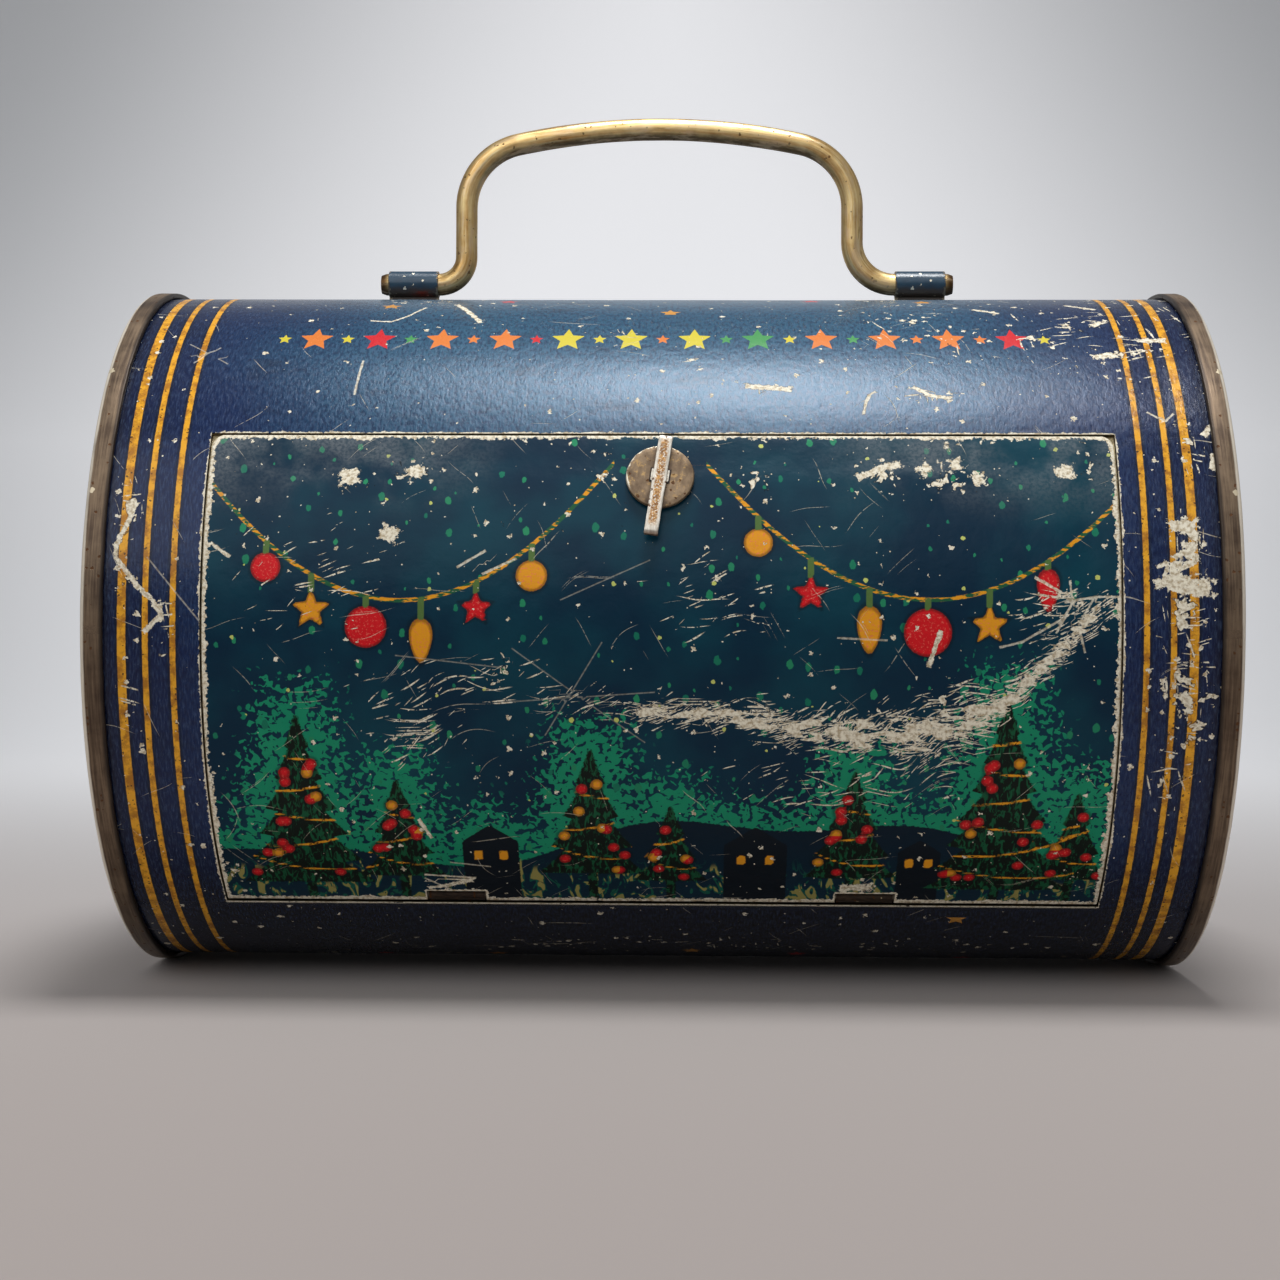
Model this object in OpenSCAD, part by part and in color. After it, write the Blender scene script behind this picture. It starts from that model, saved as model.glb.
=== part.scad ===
// Round-bodied tinplate lunch box with a curved hinged door and a wire bail handle.
// The rolled body lies along X, the door faces -Y and the handle stands on top.
// Angles round the body run from the front (-Y) upwards. Z = 0 is the table.

/* [Body] */
// Outside diameter of the rolled body
body_d = 130; // [116:1:150]
// Overall length over the two end seams
body_l = 200; // [190:1:260]
// Thickness of the tinplate
sheet = 0.35; // [0.3:0.01:0.4]
// Gap left between folded layers
fold_gap = 0.05; // [0.03:0.01:0.07]
// Width of the folded lock seam down the back
lock_w = 5; // [4:0.5:8]
// Bare length left at each end of the lock seam
lock_end = 1; // [0.5:0.5:4]
// Open line that the lock seam leaves on the outside
lock_line = 0.25; // [0.2:0.05:0.5]

/* [Ends] */
// Height of the double seam, along the body
seam_h = 4; // [3.2:0.1:6]
// Outer rounding of the double seam
seam_round = 0.9; // [0.6:0.05:0.95]
// Depth of the end panel below the top of the seam
end_depth = 4.2; // [3.5:0.1:7]
// Diameter of the raised ring step in the end panel
bead_d = 106; // [90:1:110]
// Height of that step
bead_h = 0.8; // [0.4:0.1:1.6]

/* [Door] */
// Width of the door, along the body
door_w = 158; // [130:1:165]
// Angle of the door's top edge
door_top_a = 31.4; // [25:0.1:40]
// Angle of the door's bottom edge
door_bottom_a = -50.6; // [-56:0.1:-44]
// Gap round the door
door_gap = 0.35; // [0.3:0.05:0.8]
// Rounding of the two top corners of the door
door_corner = 2.4; // [1.5:0.1:4]
// Width of the flat hem folded behind the door's edges
hem_w = 4; // [3:0.1:4.5]
// Inset of the raised middle from the door's edges
emboss_inset = 5; // [4.8:0.1:8]
// Height of the raised middle
emboss_h = 0.5; // [0.3:0.05:0.8]
// Corner rounding of the raised middle
emboss_corner = 5; // [3:0.5:9]
// Width of the sunk ledge that the door closes on
ledge_w = 4; // [3:0.1:4.2]
// Gap between the closed door and its ledge
seat_gap = 0.3; // [0.3:0.05:0.6]

/* [Hinge] */
// Diameter of the hinge wire
pin_d = 1.5; // [1.2:0.1:2]
// Radial clearance of the knuckles on the hinge wire
pin_fit = 0.06; // [0.04:0.01:0.1]
// Distance of each hinge strap from the middle
strap_x = 37; // [25:0.5:50]
// Width of a hinge strap
strap_w = 10.2; // [7:0.1:14]
// Side clearance of a strap in its notch
notch_gap = 0.3; // [0.3:0.05:0.8]
// Height of a notch above the door's bottom edge
notch_h = 3.6; // [3:0.1:6]
// Length of a strap's tail inside the body
tail_l = 14; // [8:0.5:20]

/* [Latch] */
// Distance of the latch centre below the door's top edge
latch_drop = 9.1; // [8.9:0.1:11]
// Diameter of the latch disc
disc_d = 12; // [9:0.5:14]
// Thickness of the latch disc
disc_t = 0.8; // [0.6:0.1:1.2]
// Play between the latch and the door
latch_play = 0.2; // [0.15:0.05:0.3]
// Width of the lever strip
lever_w = 2.6; // [2:0.1:4]
// Thickness of the lever strip
lever_t = 0.6; // [0.4:0.1:0.8]
// Reach of the lever's long end from the latch centre
lever_long = 11.4; // [9:0.1:13]
// Reach of the lever's short end from the latch centre
lever_short = 7.9; // [7:0.1:9]
// Drop of the lever's bent ends
lever_drop = 0.9; // [0.7:0.05:0.9]
// Lean of the lever from upright
lever_tilt = 7.5; // [0:0.5:15]
// Length of the two ears that hold the lever, along the lever
ear_l = 2.2; // [1.6:0.1:2.6]
// Thickness of the ears
ear_t = 0.4; // [0.3:0.05:0.5]
// Clearance round the ears in their slits
ear_fit = 0.05; // [0.03:0.01:0.1]
// Reach of the locking tongue behind the door
tongue_l = 8.5; // [7.5:0.1:9]
// Width of the tongue
tongue_w = 5; // [4.6:0.1:5.5]

/* [Handle] */
// Diameter of the handle wire
wire_d = 4.4; // [3:0.1:5]
// Radial clearance of the wire in its loops
wire_fit = 0.05; // [0.03:0.01:0.1]
// Mean sideways reach of the lower bends, from a leg to its loop
elbow_w = 7; // [5.5:0.1:12]
// Width of a loop, along the wire
loop_w = 10; // [7:0.5:12]
// Thickness of the loop strip
loop_t = 0.4; // [0.3:0.05:0.6]
// Height of a loop's neck above the body
neck_h = 0.95; // [0.8:0.05:3]
// Length of the loop's feet inside the body
foot_l = 5; // [3:0.5:8]
// Length of the wire that shows beyond a loop
wire_stub = 1.5; // [0.5:0.1:4]
// Distance between the two upright legs
grip_w = 77; // [60:1:80]
// Sideways shift of the hand-bent grip
grip_shift = -1.5; // [-2:0.1:2]
// Height of the grip's centre line above the loops
grip_h = 31; // [28:0.5:45]
// Centre line radius of the shoulders
shoulder_r = 13; // [8:0.5:16]
// Turn of each shoulder
shoulder_turn = 78; // [70:0.5:82]

/* [Hidden] */
$fn = 96;
eps = 0.01;
// Overlap that keeps joined surfaces from only touching
tuck = 0.05;

// Body and double seam, counted outwards from the wall in layers of sheet and gap
body_r = body_d / 2;
layer = sheet + fold_gap;
rim_r = body_r + 3 * layer;
axis_z = rim_r;
wall_in = body_r - sheet;
half_l = body_l / 2;
wrap_half = half_l - layer;
chuck_r = wall_in - fold_gap - sheet / 2;
panel_x = half_l - end_depth;
bend_r = 0.3;

// Door and ledge
door_half = door_w / 2;
open_half = door_half + door_gap;
hem_in = body_r - 2 * sheet;
ledge_out = hem_in - seat_gap;
ledge_in = ledge_out - sheet;
emboss_r = body_r + emboss_h;

// Hinge axis, set so that the knuckle lies just under the body's surface
bore_r = pin_d / 2 + pin_fit;
knuckle_r = bore_r + sheet;
knuckle_sink = 0.06;
hinge_r = body_r - knuckle_r - knuckle_sink;
hinge_a = door_bottom_a + arc_deg(knuckle_r);
curl_gap = 0.25;
notch_w = strap_w + 2 * notch_gap;

// Latch, in heights above the body's axis
latch_a = door_top_a - arc_deg(latch_drop);
disc_z = emboss_r + latch_play;
lever_z = disc_z + disc_t;
ear_x = lever_w / 2 + ear_t / 4;
ear_hole_r = norm([ear_x + ear_t / 2, ear_l / 2]) + 4 * ear_fit + latch_play;
lever_bend = 0.8 * lever_t;
tongue_t = 0.6;
tongue_bend = 0.5;
hub_z = emboss_r - sheet - latch_play - tongue_t / 2;
hub_half = ear_hole_r + ear_fit;
arm_z = sqrt(ledge_in * ledge_in - tongue_l * tongue_l) - seat_gap - tongue_t / 2;
foot_drop = 0.4;
foot_reach = 0.8;

// Handle
wire_r = wire_d / 2;
loop_bore_r = wire_r + wire_fit;
loop_r = loop_bore_r + loop_t;
pivot_r = body_r + neck_h + loop_r;
pivot_z = axis_z + pivot_r;
neck_gap = 2 * fold_gap;
wire_in = grip_w / 2 + elbow_w;
loop_x = wire_in + loop_w / 2;
wire_end = wire_in + loop_w + wire_stub;
shoulder_x = grip_w / 2 - shoulder_r;
crown_r = shoulder_x / cos(shoulder_turn) + shoulder_r;
wire_lap = 0.3;
leg_top = grip_h - shoulder_r * sin(shoulder_turn) - crown_r * (1 - sin(shoulder_turn));

// Angle that a length along the body's surface covers
function arc_deg(length) = length / body_r * 180 / PI;

function unit(v) = v / norm(v);
function turned(v, a) = [v.x * cos(a) - v.y * sin(a), v.x * sin(a) + v.y * cos(a)];

// Points of the bend at corner b of a folded strip, from a to c, with radius r
function bend_points(a, b, c, r, steps = 4) =
    let (u = unit(a - b), v = unit(c - b), half = acos(u * v) / 2)
    let (centre = b + unit(u + v) * r / sin(half), start = b + u * r / tan(half) - centre)
    let (side = sign(cross(b - a, c - b)))
    [for (i = [0:steps]) centre + turned(start, side * (180 - 2 * half) * i / steps)];

function flat(p) = [p[0], p[1]];

// Centre line of a folded strip from corners [x, y, bend radius]
function folded(c) =
    concat([flat(c[0])],
           [for (i = [1:len(c) - 2]) each bend_points(flat(c[i - 1]), flat(c[i]), flat(c[i + 1]), c[i][2])],
           [flat(c[len(c) - 1])]);

// Outline of a strip of thickness t along a centre line
function normal_at(p, i) =
    let (a = i > 0 ? unit(p[i] - p[i - 1]) : unit(p[1] - p[0]))
    let (b = i < len(p) - 1 ? unit(p[i + 1] - p[i]) : a)
    let (m = unit(a + b))
    [-m.y, m.x] / (m * a);
function strip(p, t) =
    concat([for (i = [0:len(p) - 1]) p[i] + normal_at(p, i) * t / 2],
           [for (i = [len(p) - 1:-1:0]) p[i] - normal_at(p, i) * t / 2]);

// Local X forward, local Y up, local Z to the left, from the body's axis
module on_axis() {
    translate([0, 0, axis_z]) rotate([90, 0, -90]) children();
}

// Local Z outwards through the surface at angle a and place x, local Y up the surface
module radial(x, a) {
    translate([x, 0, axis_z]) rotate([90 - a, 0, 0]) children();
}

// Curved strip of the body from radius r0 to r1, angle a0 to a1 and place x0 to x1
module band(r0, r1, a0, a1, x0, x1) {
    on_axis() rotate([0, 0, a0]) rotate_extrude(angle = a1 - a0)
        translate([r0, -x1]) square([r1 - r0, x1 - x0]);
}

// Points of a quarter circle of radius r, from local X to local Y
function quarter(r, steps = 6) = [for (i = [0:steps]) [r * cos(90 * i / steps), r * sin(90 * i / steps)]];

// Cutter that rounds the door's top corner on one side
module corner_cutter(side) {
    ca = arc_deg(door_corner);
    far = 2 * door_corner;
    points = concat(quarter(door_corner), [[0, far], [far, far], [far, 0]]);
    radial(side * (door_half - door_corner + tuck), door_top_a - ca + arc_deg(tuck))
        linear_extrude(body_d) polygon([for (q = points) [side * q.x, q.y]]);
}

// Block through the door's middle with rounded corners, inset from the raised outline
module middle_block(inset) {
    top_a = door_top_a - arc_deg(emboss_inset + inset);
    foot_a = door_bottom_a + arc_deg(emboss_inset + knuckle_r + inset);
    rise = body_r * sin((top_a - foot_a) / 2);
    reach = door_half - emboss_inset - inset;
    r = emboss_corner - inset;
    q = quarter(r);
    outline = [for (turn = [0:3]) each [for (v = q)
        let (right = turn == 0 || turn == 3, up = turn < 2, w = turned(v, 90 * turn))
        [w.x + (right ? 1 : -1) * (reach - r), w.y + (up ? 1 : -1) * (rise - r)]]];
    radial(0, (top_a + foot_a) / 2) linear_extrude(body_d) polygon(outline);
}

// Local X outwards and local Y up the door, from the hinge axis
module on_hinge() {
    on_axis() rotate([0, 0, hinge_a]) translate([hinge_r, 0, 0]) children();
}

// Section of the rolled body, flanged and hooked over at both ends
function wrapper_end(s) =
    let (mid_r = body_r - sheet / 2, hook_r = body_r + 2 * layer - sheet / 2)
    let (top = wrap_half - sheet / 2, tip = half_l - seam_h + layer)
    [[hook_r, s * tip, 0], [hook_r, s * top, bend_r], [mid_r, s * top, bend_r]];

module wrapper() {
    ends = concat(wrapper_end(-1), [for (i = [2:-1:0]) wrapper_end(1)[i]]);
    rotate([0, 90, 0]) rotate_extrude() polygon(strip(folded(ends), sheet));
}

module body_shell() {
    wall = arc_deg(sheet);
    top_a = door_top_a + arc_deg(door_gap);
    ledge_foot_a = hinge_a + arc_deg(knuckle_r + door_gap);
    lock_half = panel_x - sheet - lock_end;
    color("#1c3f73") difference() {
        union() {
            translate([0, 0, axis_z]) wrapper();
            // four layers of the lock seam, pressed flat inside the back
            band(body_r - 4 * layer, body_r - sheet / 2, 180 - arc_deg(lock_w),
                 180 + arc_deg(lock_line + sheet), -lock_half, lock_half);
            band(ledge_in, body_r - sheet / 2, ledge_foot_a, top_a + wall, -open_half - sheet, open_half + sheet);
        }
        // doorway, then the opening inside the ledge
        band(ledge_out, body_r + 1, door_bottom_a - arc_deg(door_gap), top_a, -open_half, open_half);
        band(ledge_in - 1, body_r + 1, ledge_foot_a - wall, top_a - arc_deg(ledge_w),
             ledge_w - open_half, open_half - ledge_w);
        band(body_r - 1.5 * layer, body_r + 1, 180, 180 + arc_deg(lock_line), -lock_half, lock_half);
        for (side = [-1, 1]) {
            translate([side * loop_x, 0, axis_z + body_r])
                cube([loop_w + 2 * ear_fit, 2 * (loop_t + fold_gap) + neck_gap, body_r / 10], center = true);
        }
    }
}

// Pressed end with a stepped panel, hooked under the body's flange
module end_cap() {
    seam_r = rim_r - sheet / 2;
    hook_r = body_r + fold_gap + sheet / 2;
    top = half_l - sheet / 2;
    foot = half_l - seam_h + sheet / 2;
    tip = wrap_half - layer;
    panel = panel_x - sheet / 2;
    corners = [
        [0, panel + bead_h, 0],
        [bead_d / 2 - bead_h / 2, panel + bead_h, bend_r],
        [bead_d / 2 + bead_h / 2, panel, bend_r],
        [chuck_r, panel, bend_r],
        [chuck_r, top, bend_r],
        [seam_r, top, seam_round - sheet / 2],
        [seam_r, foot, bend_r / 2],
        [hook_r, foot, bend_r / 2],
        [hook_r, tip, 0]
    ];
    color("#6b5a48") translate([0, 0, axis_z]) rotate([0, 90, 0])
        rotate_extrude() intersection() {
            polygon(strip(folded(corners), sheet));
            square([rim_r + 1, half_l + 1]);
        }
}

module end_cap_right() {
    end_cap();
}

module end_cap_left() {
    rotate([0, 0, 180]) end_cap();
}

// Open line of a knuckle, where the curled sheet's edge comes round, at angle a from the outside
module curl_slit(a, width) {
    rotate([0, 0, a]) translate([bore_r + sheet / 2, 0, 0])
        cube([sheet + 2 * tuck, curl_gap, width], center = true);
}

// Curved sheet with a raised middle, hemmed at three edges and rolled round the hinge wire at the fourth
module door_panel() {
    hem_foot = hinge_a + arc_deg(knuckle_r + door_gap);
    color("#0f3a52") difference() {
        union() {
            band(wall_in, body_r, hinge_a, door_top_a, -door_half, door_half);
            intersection() {
                band(wall_in + sheet / 2, emboss_r, hinge_a, door_top_a, -door_half, door_half);
                middle_block(0);
            }
            difference() {
                band(hem_in, wall_in + sheet / 2, hem_foot, door_top_a, -door_half, door_half);
                band(hem_in - 1, body_r, hem_foot - 1, door_top_a - arc_deg(hem_w), hem_w - door_half, door_half - hem_w);
            }
            on_hinge() cylinder(h = door_w, r = knuckle_r, center = true);
        }
        intersection() {
            band(hem_in - 1, emboss_r - sheet, hinge_a, door_top_a, -door_half, door_half);
            middle_block(sheet);
        }
        on_hinge() cylinder(h = door_w + 2, r = bore_r, center = true);
        on_hinge() curl_slit(50, door_w + 2);
        for (side = [-1, 1]) {
            corner_cutter(side);
            band(hinge_r - knuckle_r - 1, body_r + 1, door_bottom_a - arc_deg(1), door_bottom_a + arc_deg(notch_h),
                 side * strap_x - notch_w / 2, side * strap_x + notch_w / 2);
        }
        radial(0, latch_a) translate([0, 0, body_r / 2]) cylinder(h = body_r, r = ear_hole_r);
    }
}

module hinge_pin() {
    color("#8a8478") on_hinge() cylinder(h = door_w - 2 * notch_gap, r = pin_d / 2, center = true);
}

// Place at radius r of the body and angle a above the hinge, in the hinge's own frame
function from_hinge(r, a) = [r * cos(a) - hinge_r, r * sin(a)];

// Strap curled over the hinge wire, its tail laid inside the body below the doorway
module hinge_strap(x) {
    mid_r = wall_in - sheet / 2;
    rise_a = arc_deg(3 * knuckle_r);
    inner = tuck - bore_r - sheet / 2;
    steps = 6;
    tail = [for (i = [0:steps - 1]) from_hinge(mid_r, -rise_a - arc_deg(tail_l) * (1 - i / steps))];
    top = from_hinge(mid_r, -rise_a);
    line = folded([[each tail[steps - 1], 0], [each top, bend_r], [inner, -knuckle_r, bend_r], [inner, sheet / 2, 0]]);
    color("#5a4a3a") on_hinge() translate([0, 0, -x]) difference() {
        union() {
            cylinder(h = strap_w, r = knuckle_r, center = true);
            linear_extrude(strap_w, center = true)
                polygon(strip(concat([for (i = [0:steps - 2]) tail[i]], line), sheet));
        }
        cylinder(h = strap_w + 2, r = bore_r, center = true);
        curl_slit(-100, strap_w + 2);
    }
}

module hinge_strap_left() {
    hinge_strap(-strap_x);
}

module hinge_strap_right() {
    hinge_strap(strap_x);
}

// Latch frame, turned to the lever's lean
module on_latch() {
    radial(0, latch_a) rotate([0, 0, -lever_tilt]) children();
}

module ear_slits(z, depth) {
    for (side = [-1, 1]) {
        translate([side * ear_x, 0, z])
            cube([ear_t + 2 * ear_fit, ear_l + 2 * ear_fit, depth], center = true);
    }
}

module latch_disc() {
    color("#6a5240") on_latch() difference() {
        translate([0, 0, disc_z]) cylinder(h = disc_t, r1 = disc_d / 2, r2 = disc_d / 2 - disc_t / 4);
        ear_slits(lever_z, 4 * disc_t);
    }
}

// Grip strip with bent ends, and two ears folded down through the disc and the door
module latch_lever() {
    top = lever_z + lever_t / 2;
    bow = folded([
        [-lever_long + lever_t / 2, top - lever_drop, 0],
        [-lever_long + lever_t / 2, top, lever_bend],
        [lever_short - lever_t / 2, top, lever_bend],
        [lever_short - lever_t / 2, top - lever_drop, 0]
    ]);
    ear_foot = hub_z - tongue_t / 2 - foot_drop;
    color("#b9b4aa") on_latch() {
        rotate([90, 0, 90]) linear_extrude(lever_w, center = true) polygon(strip(bow, lever_t));
        for (side = [-1, 1]) {
            translate([side * ear_x - ear_t / 2, -ear_l / 2, ear_foot])
                cube([ear_t, ear_l, lever_z + lever_t - ear_foot]);
            translate([side * (ear_x + foot_reach / 2) - foot_reach / 2, -ear_l / 2, ear_foot])
                cube([foot_reach, ear_l, foot_drop]);
        }
    }
}

// Joggled tongue behind the door, pointing down while the door is free to open
module latch_tongue() {
    step = (hub_z - arm_z) / 2;
    line = folded([
        [hub_half, hub_z, 0],
        [-hub_half, hub_z, tongue_bend],
        [-hub_half - step, arm_z, tongue_bend],
        [-tongue_l, arm_z, 0]
    ]);
    color("#8f887a") on_latch() difference() {
        rotate([90, 0, 90]) linear_extrude(tongue_w, center = true) polygon(strip(line, tongue_t));
        ear_slits(hub_z, 4 * tongue_t);
    }
}

// Strip wrapped round the handle wire, its two ends pushed through the body and spread
module handle_loop(x) {
    neck_t = 2 * loop_t + neck_gap;
    foot_a = arc_deg(foot_l);
    color("#27456e") difference() {
        union() {
            translate([x, 0, pivot_z]) rotate([0, 90, 0]) cylinder(h = loop_w, r = loop_r, center = true);
            translate([x - loop_w / 2, -neck_t / 2, axis_z + wall_in - loop_t / 2])
                cube([loop_w, neck_t, pivot_r - wall_in]);
            band(wall_in - loop_t, wall_in, 90 - foot_a, 90 + foot_a, x - loop_w / 2, x + loop_w / 2);
        }
        translate([x, 0, pivot_z]) rotate([0, 90, 0]) cylinder(h = loop_w + 2, r = loop_bore_r, center = true);
        translate([x, 0, pivot_z - loop_r])
            cube([loop_w + 2, neck_gap, 2 * (loop_r - loop_bore_r + neck_h) + 2 * loop_t], center = true);
    }
}

module handle_loop_left() {
    handle_loop(-loop_x);
}

module handle_loop_right() {
    handle_loop(loop_x);
}

// Arc of wire on one side (-1 or 1), about side * x and z, from angle a0 over turn
module wire_arc(side, x, z, r, a0, turn, thick) {
    start = side > 0 ? a0 : 180 - a0 - turn;
    translate([side * x, 0, z]) rotate([90, 0, 0]) rotate([0, 0, start]) rotate_extrude(angle = turn)
        translate([r, 0]) circle(thick);
}

// Tight bend, drawn a hair thinner than the wire and lapped into its neighbours at both ends
module wire_bend(side, x, z, r, a0, turn) {
    lap = wire_lap / r * 180 / PI;
    wire_arc(side, x, z, r, a0 - lap, turn + 2 * lap, wire_r - 2 * eps);
}

// One half of the bail: stub in the loop, lower bend, leg and shoulder
module bail_half(side) {
    leg_x = grip_w / 2 + side * grip_shift;
    foot_r = wire_in - leg_x;
    translate([side * (wire_in + wire_end) / 2, 0, 0]) rotate([0, 90, 0])
        cylinder(h = wire_end - wire_in, r = wire_r, center = true);
    wire_bend(side, wire_in, foot_r, foot_r, 180, 90);
    translate([side * leg_x, 0, foot_r]) cylinder(h = leg_top - foot_r, r = wire_r);
    wire_bend(side, leg_x - shoulder_r, leg_top, shoulder_r, 0, shoulder_turn);
}

module handle_bail() {
    color("#a5894f") translate([0, 0, pivot_z]) {
        for (side = [-1, 1]) {
            bail_half(side);
        }
        wire_arc(1, grip_shift, grip_h - crown_r, crown_r, shoulder_turn, 180 - 2 * shoulder_turn, wire_r);
    }
}

body_shell();
end_cap_left();
end_cap_right();
door_panel();
hinge_pin();
hinge_strap_left();
hinge_strap_right();
latch_disc();
latch_lever();
latch_tongue();
handle_loop_left();
handle_loop_right();
handle_bail();
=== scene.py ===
# Round tin lunch box with a curved door and a wire handle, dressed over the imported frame.
# Sizes are in millimetres and angles in degrees, up from the front; meshes are written in metres.
import functools
import math

import bpy
import numpy as np
from mathutils import Matrix, Vector


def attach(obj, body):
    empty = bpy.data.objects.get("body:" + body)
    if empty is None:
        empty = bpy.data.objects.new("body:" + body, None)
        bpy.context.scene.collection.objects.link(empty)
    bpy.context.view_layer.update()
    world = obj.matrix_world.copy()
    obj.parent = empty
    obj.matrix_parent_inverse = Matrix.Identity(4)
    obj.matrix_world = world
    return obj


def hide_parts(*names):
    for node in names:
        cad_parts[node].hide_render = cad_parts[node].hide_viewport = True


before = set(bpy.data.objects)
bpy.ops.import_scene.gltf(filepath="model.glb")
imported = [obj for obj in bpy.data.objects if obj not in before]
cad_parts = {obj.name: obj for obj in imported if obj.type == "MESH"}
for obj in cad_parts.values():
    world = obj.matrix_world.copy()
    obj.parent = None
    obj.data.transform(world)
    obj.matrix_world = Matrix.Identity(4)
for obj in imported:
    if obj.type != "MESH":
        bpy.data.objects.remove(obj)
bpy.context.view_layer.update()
scene = bpy.context.scene
print("frame loaded:", len(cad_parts), "nodes")

tin = {"radius": 65.0, "axis": 66.2, "halfLength": 100.0, "sheet": 0.35}
doorway = {"halfWidth": 79.0, "top": 31.4, "bottom": -50.6, "gap": 0.35}


# Place on the round body: x along it, angle up from the front, radius from its axis
def onTin(x, angle, radius):
    x, angle, radius = np.broadcast_arrays(x, np.radians(angle), radius)
    return np.stack([x, -radius * np.cos(angle), tin["axis"] + radius * np.sin(angle)], -1)


# Angle that a length along the body's surface covers
def arcAngle(length):
    return np.degrees(length / tin["radius"])


# Place on the unrolled sheet, which the finishes read
def skinAt(along, around):
    return np.stack(np.broadcast_arrays(along, around, 0.0), -1)


# Numbers from the first mark to the last that meet every mark and lie at most a step apart
def spaced(marks, step):
    runs = [np.linspace(a, b, max(1, math.ceil((b - a) / step)), endpoint=False)
            for a, b in zip(marks[:-1], marks[1:])]
    return np.append(np.concatenate(runs), marks[-1])


# Rises from 0 to 1 between low and high with no corner at either end
def ease(value, low, high):
    t = np.clip((value - low) / (high - low), 0, 1)
    return t * t * (3 - 2 * t)


# Bell shape of height 1 over an oval whose half lengths are wide and tall
def bell(dx, dy, wide, tall):
    return np.exp(-(dx / wide) ** 2 - (dy / tall) ** 2)


# The larger of a field and some bell shapes, each (place, height, half width, half height, amount)
def spotted(field, x, y, spots):
    for place, up, wide, tall, amount in spots:
        field = np.maximum(field, amount * bell(x - place, y - up, wide, tall))
    return field


# Soft unevenness from about -1 to 1: the sum of sine waves that cross the points in random directions
def unevenness(points, seed, longest, waves=14):
    chance = np.random.default_rng(seed)
    direction = chance.normal(size=(waves, 3))
    direction /= np.linalg.norm(direction, axis=1)[:, None]
    length = longest * chance.uniform(0.35, 1, waves)
    turns = (points @ direction.T) / length + chance.uniform(0, 1, waves)
    return np.sin(2 * math.pi * turns).sum(-1) / waves ** 0.5 / 1.6


# Distance outside (above 0) or inside a box of half sizes w and h whose corners have radius r
def roundedBox(x, y, w, h, r):
    qx, qy = np.abs(x) - w + r, np.abs(y) - h + r
    return np.hypot(np.maximum(qx, 0), np.maximum(qy, 0)) + np.minimum(np.maximum(qx, qy), 0) - r


# Line through corners [a, b, bend radius], each corner drawn as an arc that meets both sides
def foldedLine(corners, steps=5):
    line = [np.array(corners[0][:2], float)[None]]
    for before, corner, after in zip(corners[:-2], corners[1:-1], corners[2:]):
        b = np.array(corner[:2], float)
        u, v = np.array(before[:2]) - b, np.array(after[:2]) - b
        u, v = u / np.linalg.norm(u), v / np.linalg.norm(v)
        half = math.acos(np.clip(u @ v, -1, 1)) / 2
        centre = b + (u + v) / np.linalg.norm(u + v) * corner[2] / math.sin(half)
        start = b + u * corner[2] / math.tan(half) - centre
        side = np.sign(v[0] * u[1] - v[1] * u[0])
        turn = side * np.linspace(0, math.pi - 2 * half, steps)
        line.append(centre + np.stack([start[0] * np.cos(turn) - start[1] * np.sin(turn),
                                       start[0] * np.sin(turn) + start[1] * np.cos(turn)], -1))
    line.append(np.array(corners[-1][:2], float)[None])
    return np.concatenate(line)


# Unit normals of a flat line, on its left side
def lineNormals(line):
    along = np.gradient(line, axis=0)
    along /= np.linalg.norm(along, axis=1)[:, None]
    return np.stack([-along[:, 1], along[:, 0]], -1)


# Extra points on the long straight parts of a line, at most a step apart
def refined(line, step):
    runs = [np.linspace(a, b, max(1, math.ceil(np.linalg.norm(b - a) / step)), endpoint=False)
            for a, b in zip(line[:-1], line[1:])]
    return np.concatenate(runs + [line[-1:]])


# Length from the first point of a line to each point
def lengthAlong(line):
    return np.concatenate([[0], np.cumsum(np.linalg.norm(np.diff(line, axis=0), axis=1))])


# Closed solid between an outer and an inner grid of points; cells that keep leaves out are open and get walls
def closedSheet(outer, inner, keep=None, wrapped=False, marks=None):
    nu, nv = outer.shape[:2]
    ids = np.arange(nu * nv).reshape(nu, nv)
    ids = np.concatenate([ids, ids[:, :1]], 1) if wrapped else ids
    corners = [ids[:-1, :-1], ids[1:, :-1], ids[1:, 1:], ids[:-1, 1:]]
    keep = np.ones(corners[0].shape, bool) if keep is None else keep
    quads = np.stack(corners, -1)[keep]
    faces = [quads, quads[:, ::-1] + nu * nv]
    for side, (du, dv) in enumerate([(0, -1), (1, 0), (0, 1), (-1, 0)]):
        beside = np.roll(keep, (-du, -dv), (0, 1))
        if du:
            beside[-1 if du > 0 else 0] = False
        if dv and not wrapped:
            beside[:, -1 if dv > 0 else 0] = False
        bare = keep & ~beside
        p, q = corners[side][bare], corners[(side + 1) % 4][bare]
        faces.append(np.stack([q, p, p + nu * nv, q + nu * nv], -1))
    points = np.concatenate([outer.reshape(-1, 3), inner.reshape(-1, 3)])
    values = {"inside": np.repeat([0.0, 1.0], nu * nv)}
    for name, value in (marks or {}).items():
        flat = value.reshape((nu * nv,) + value.shape[2:])
        values[name] = np.concatenate([flat, flat])
    return points, np.concatenate(faces), None, values


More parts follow.
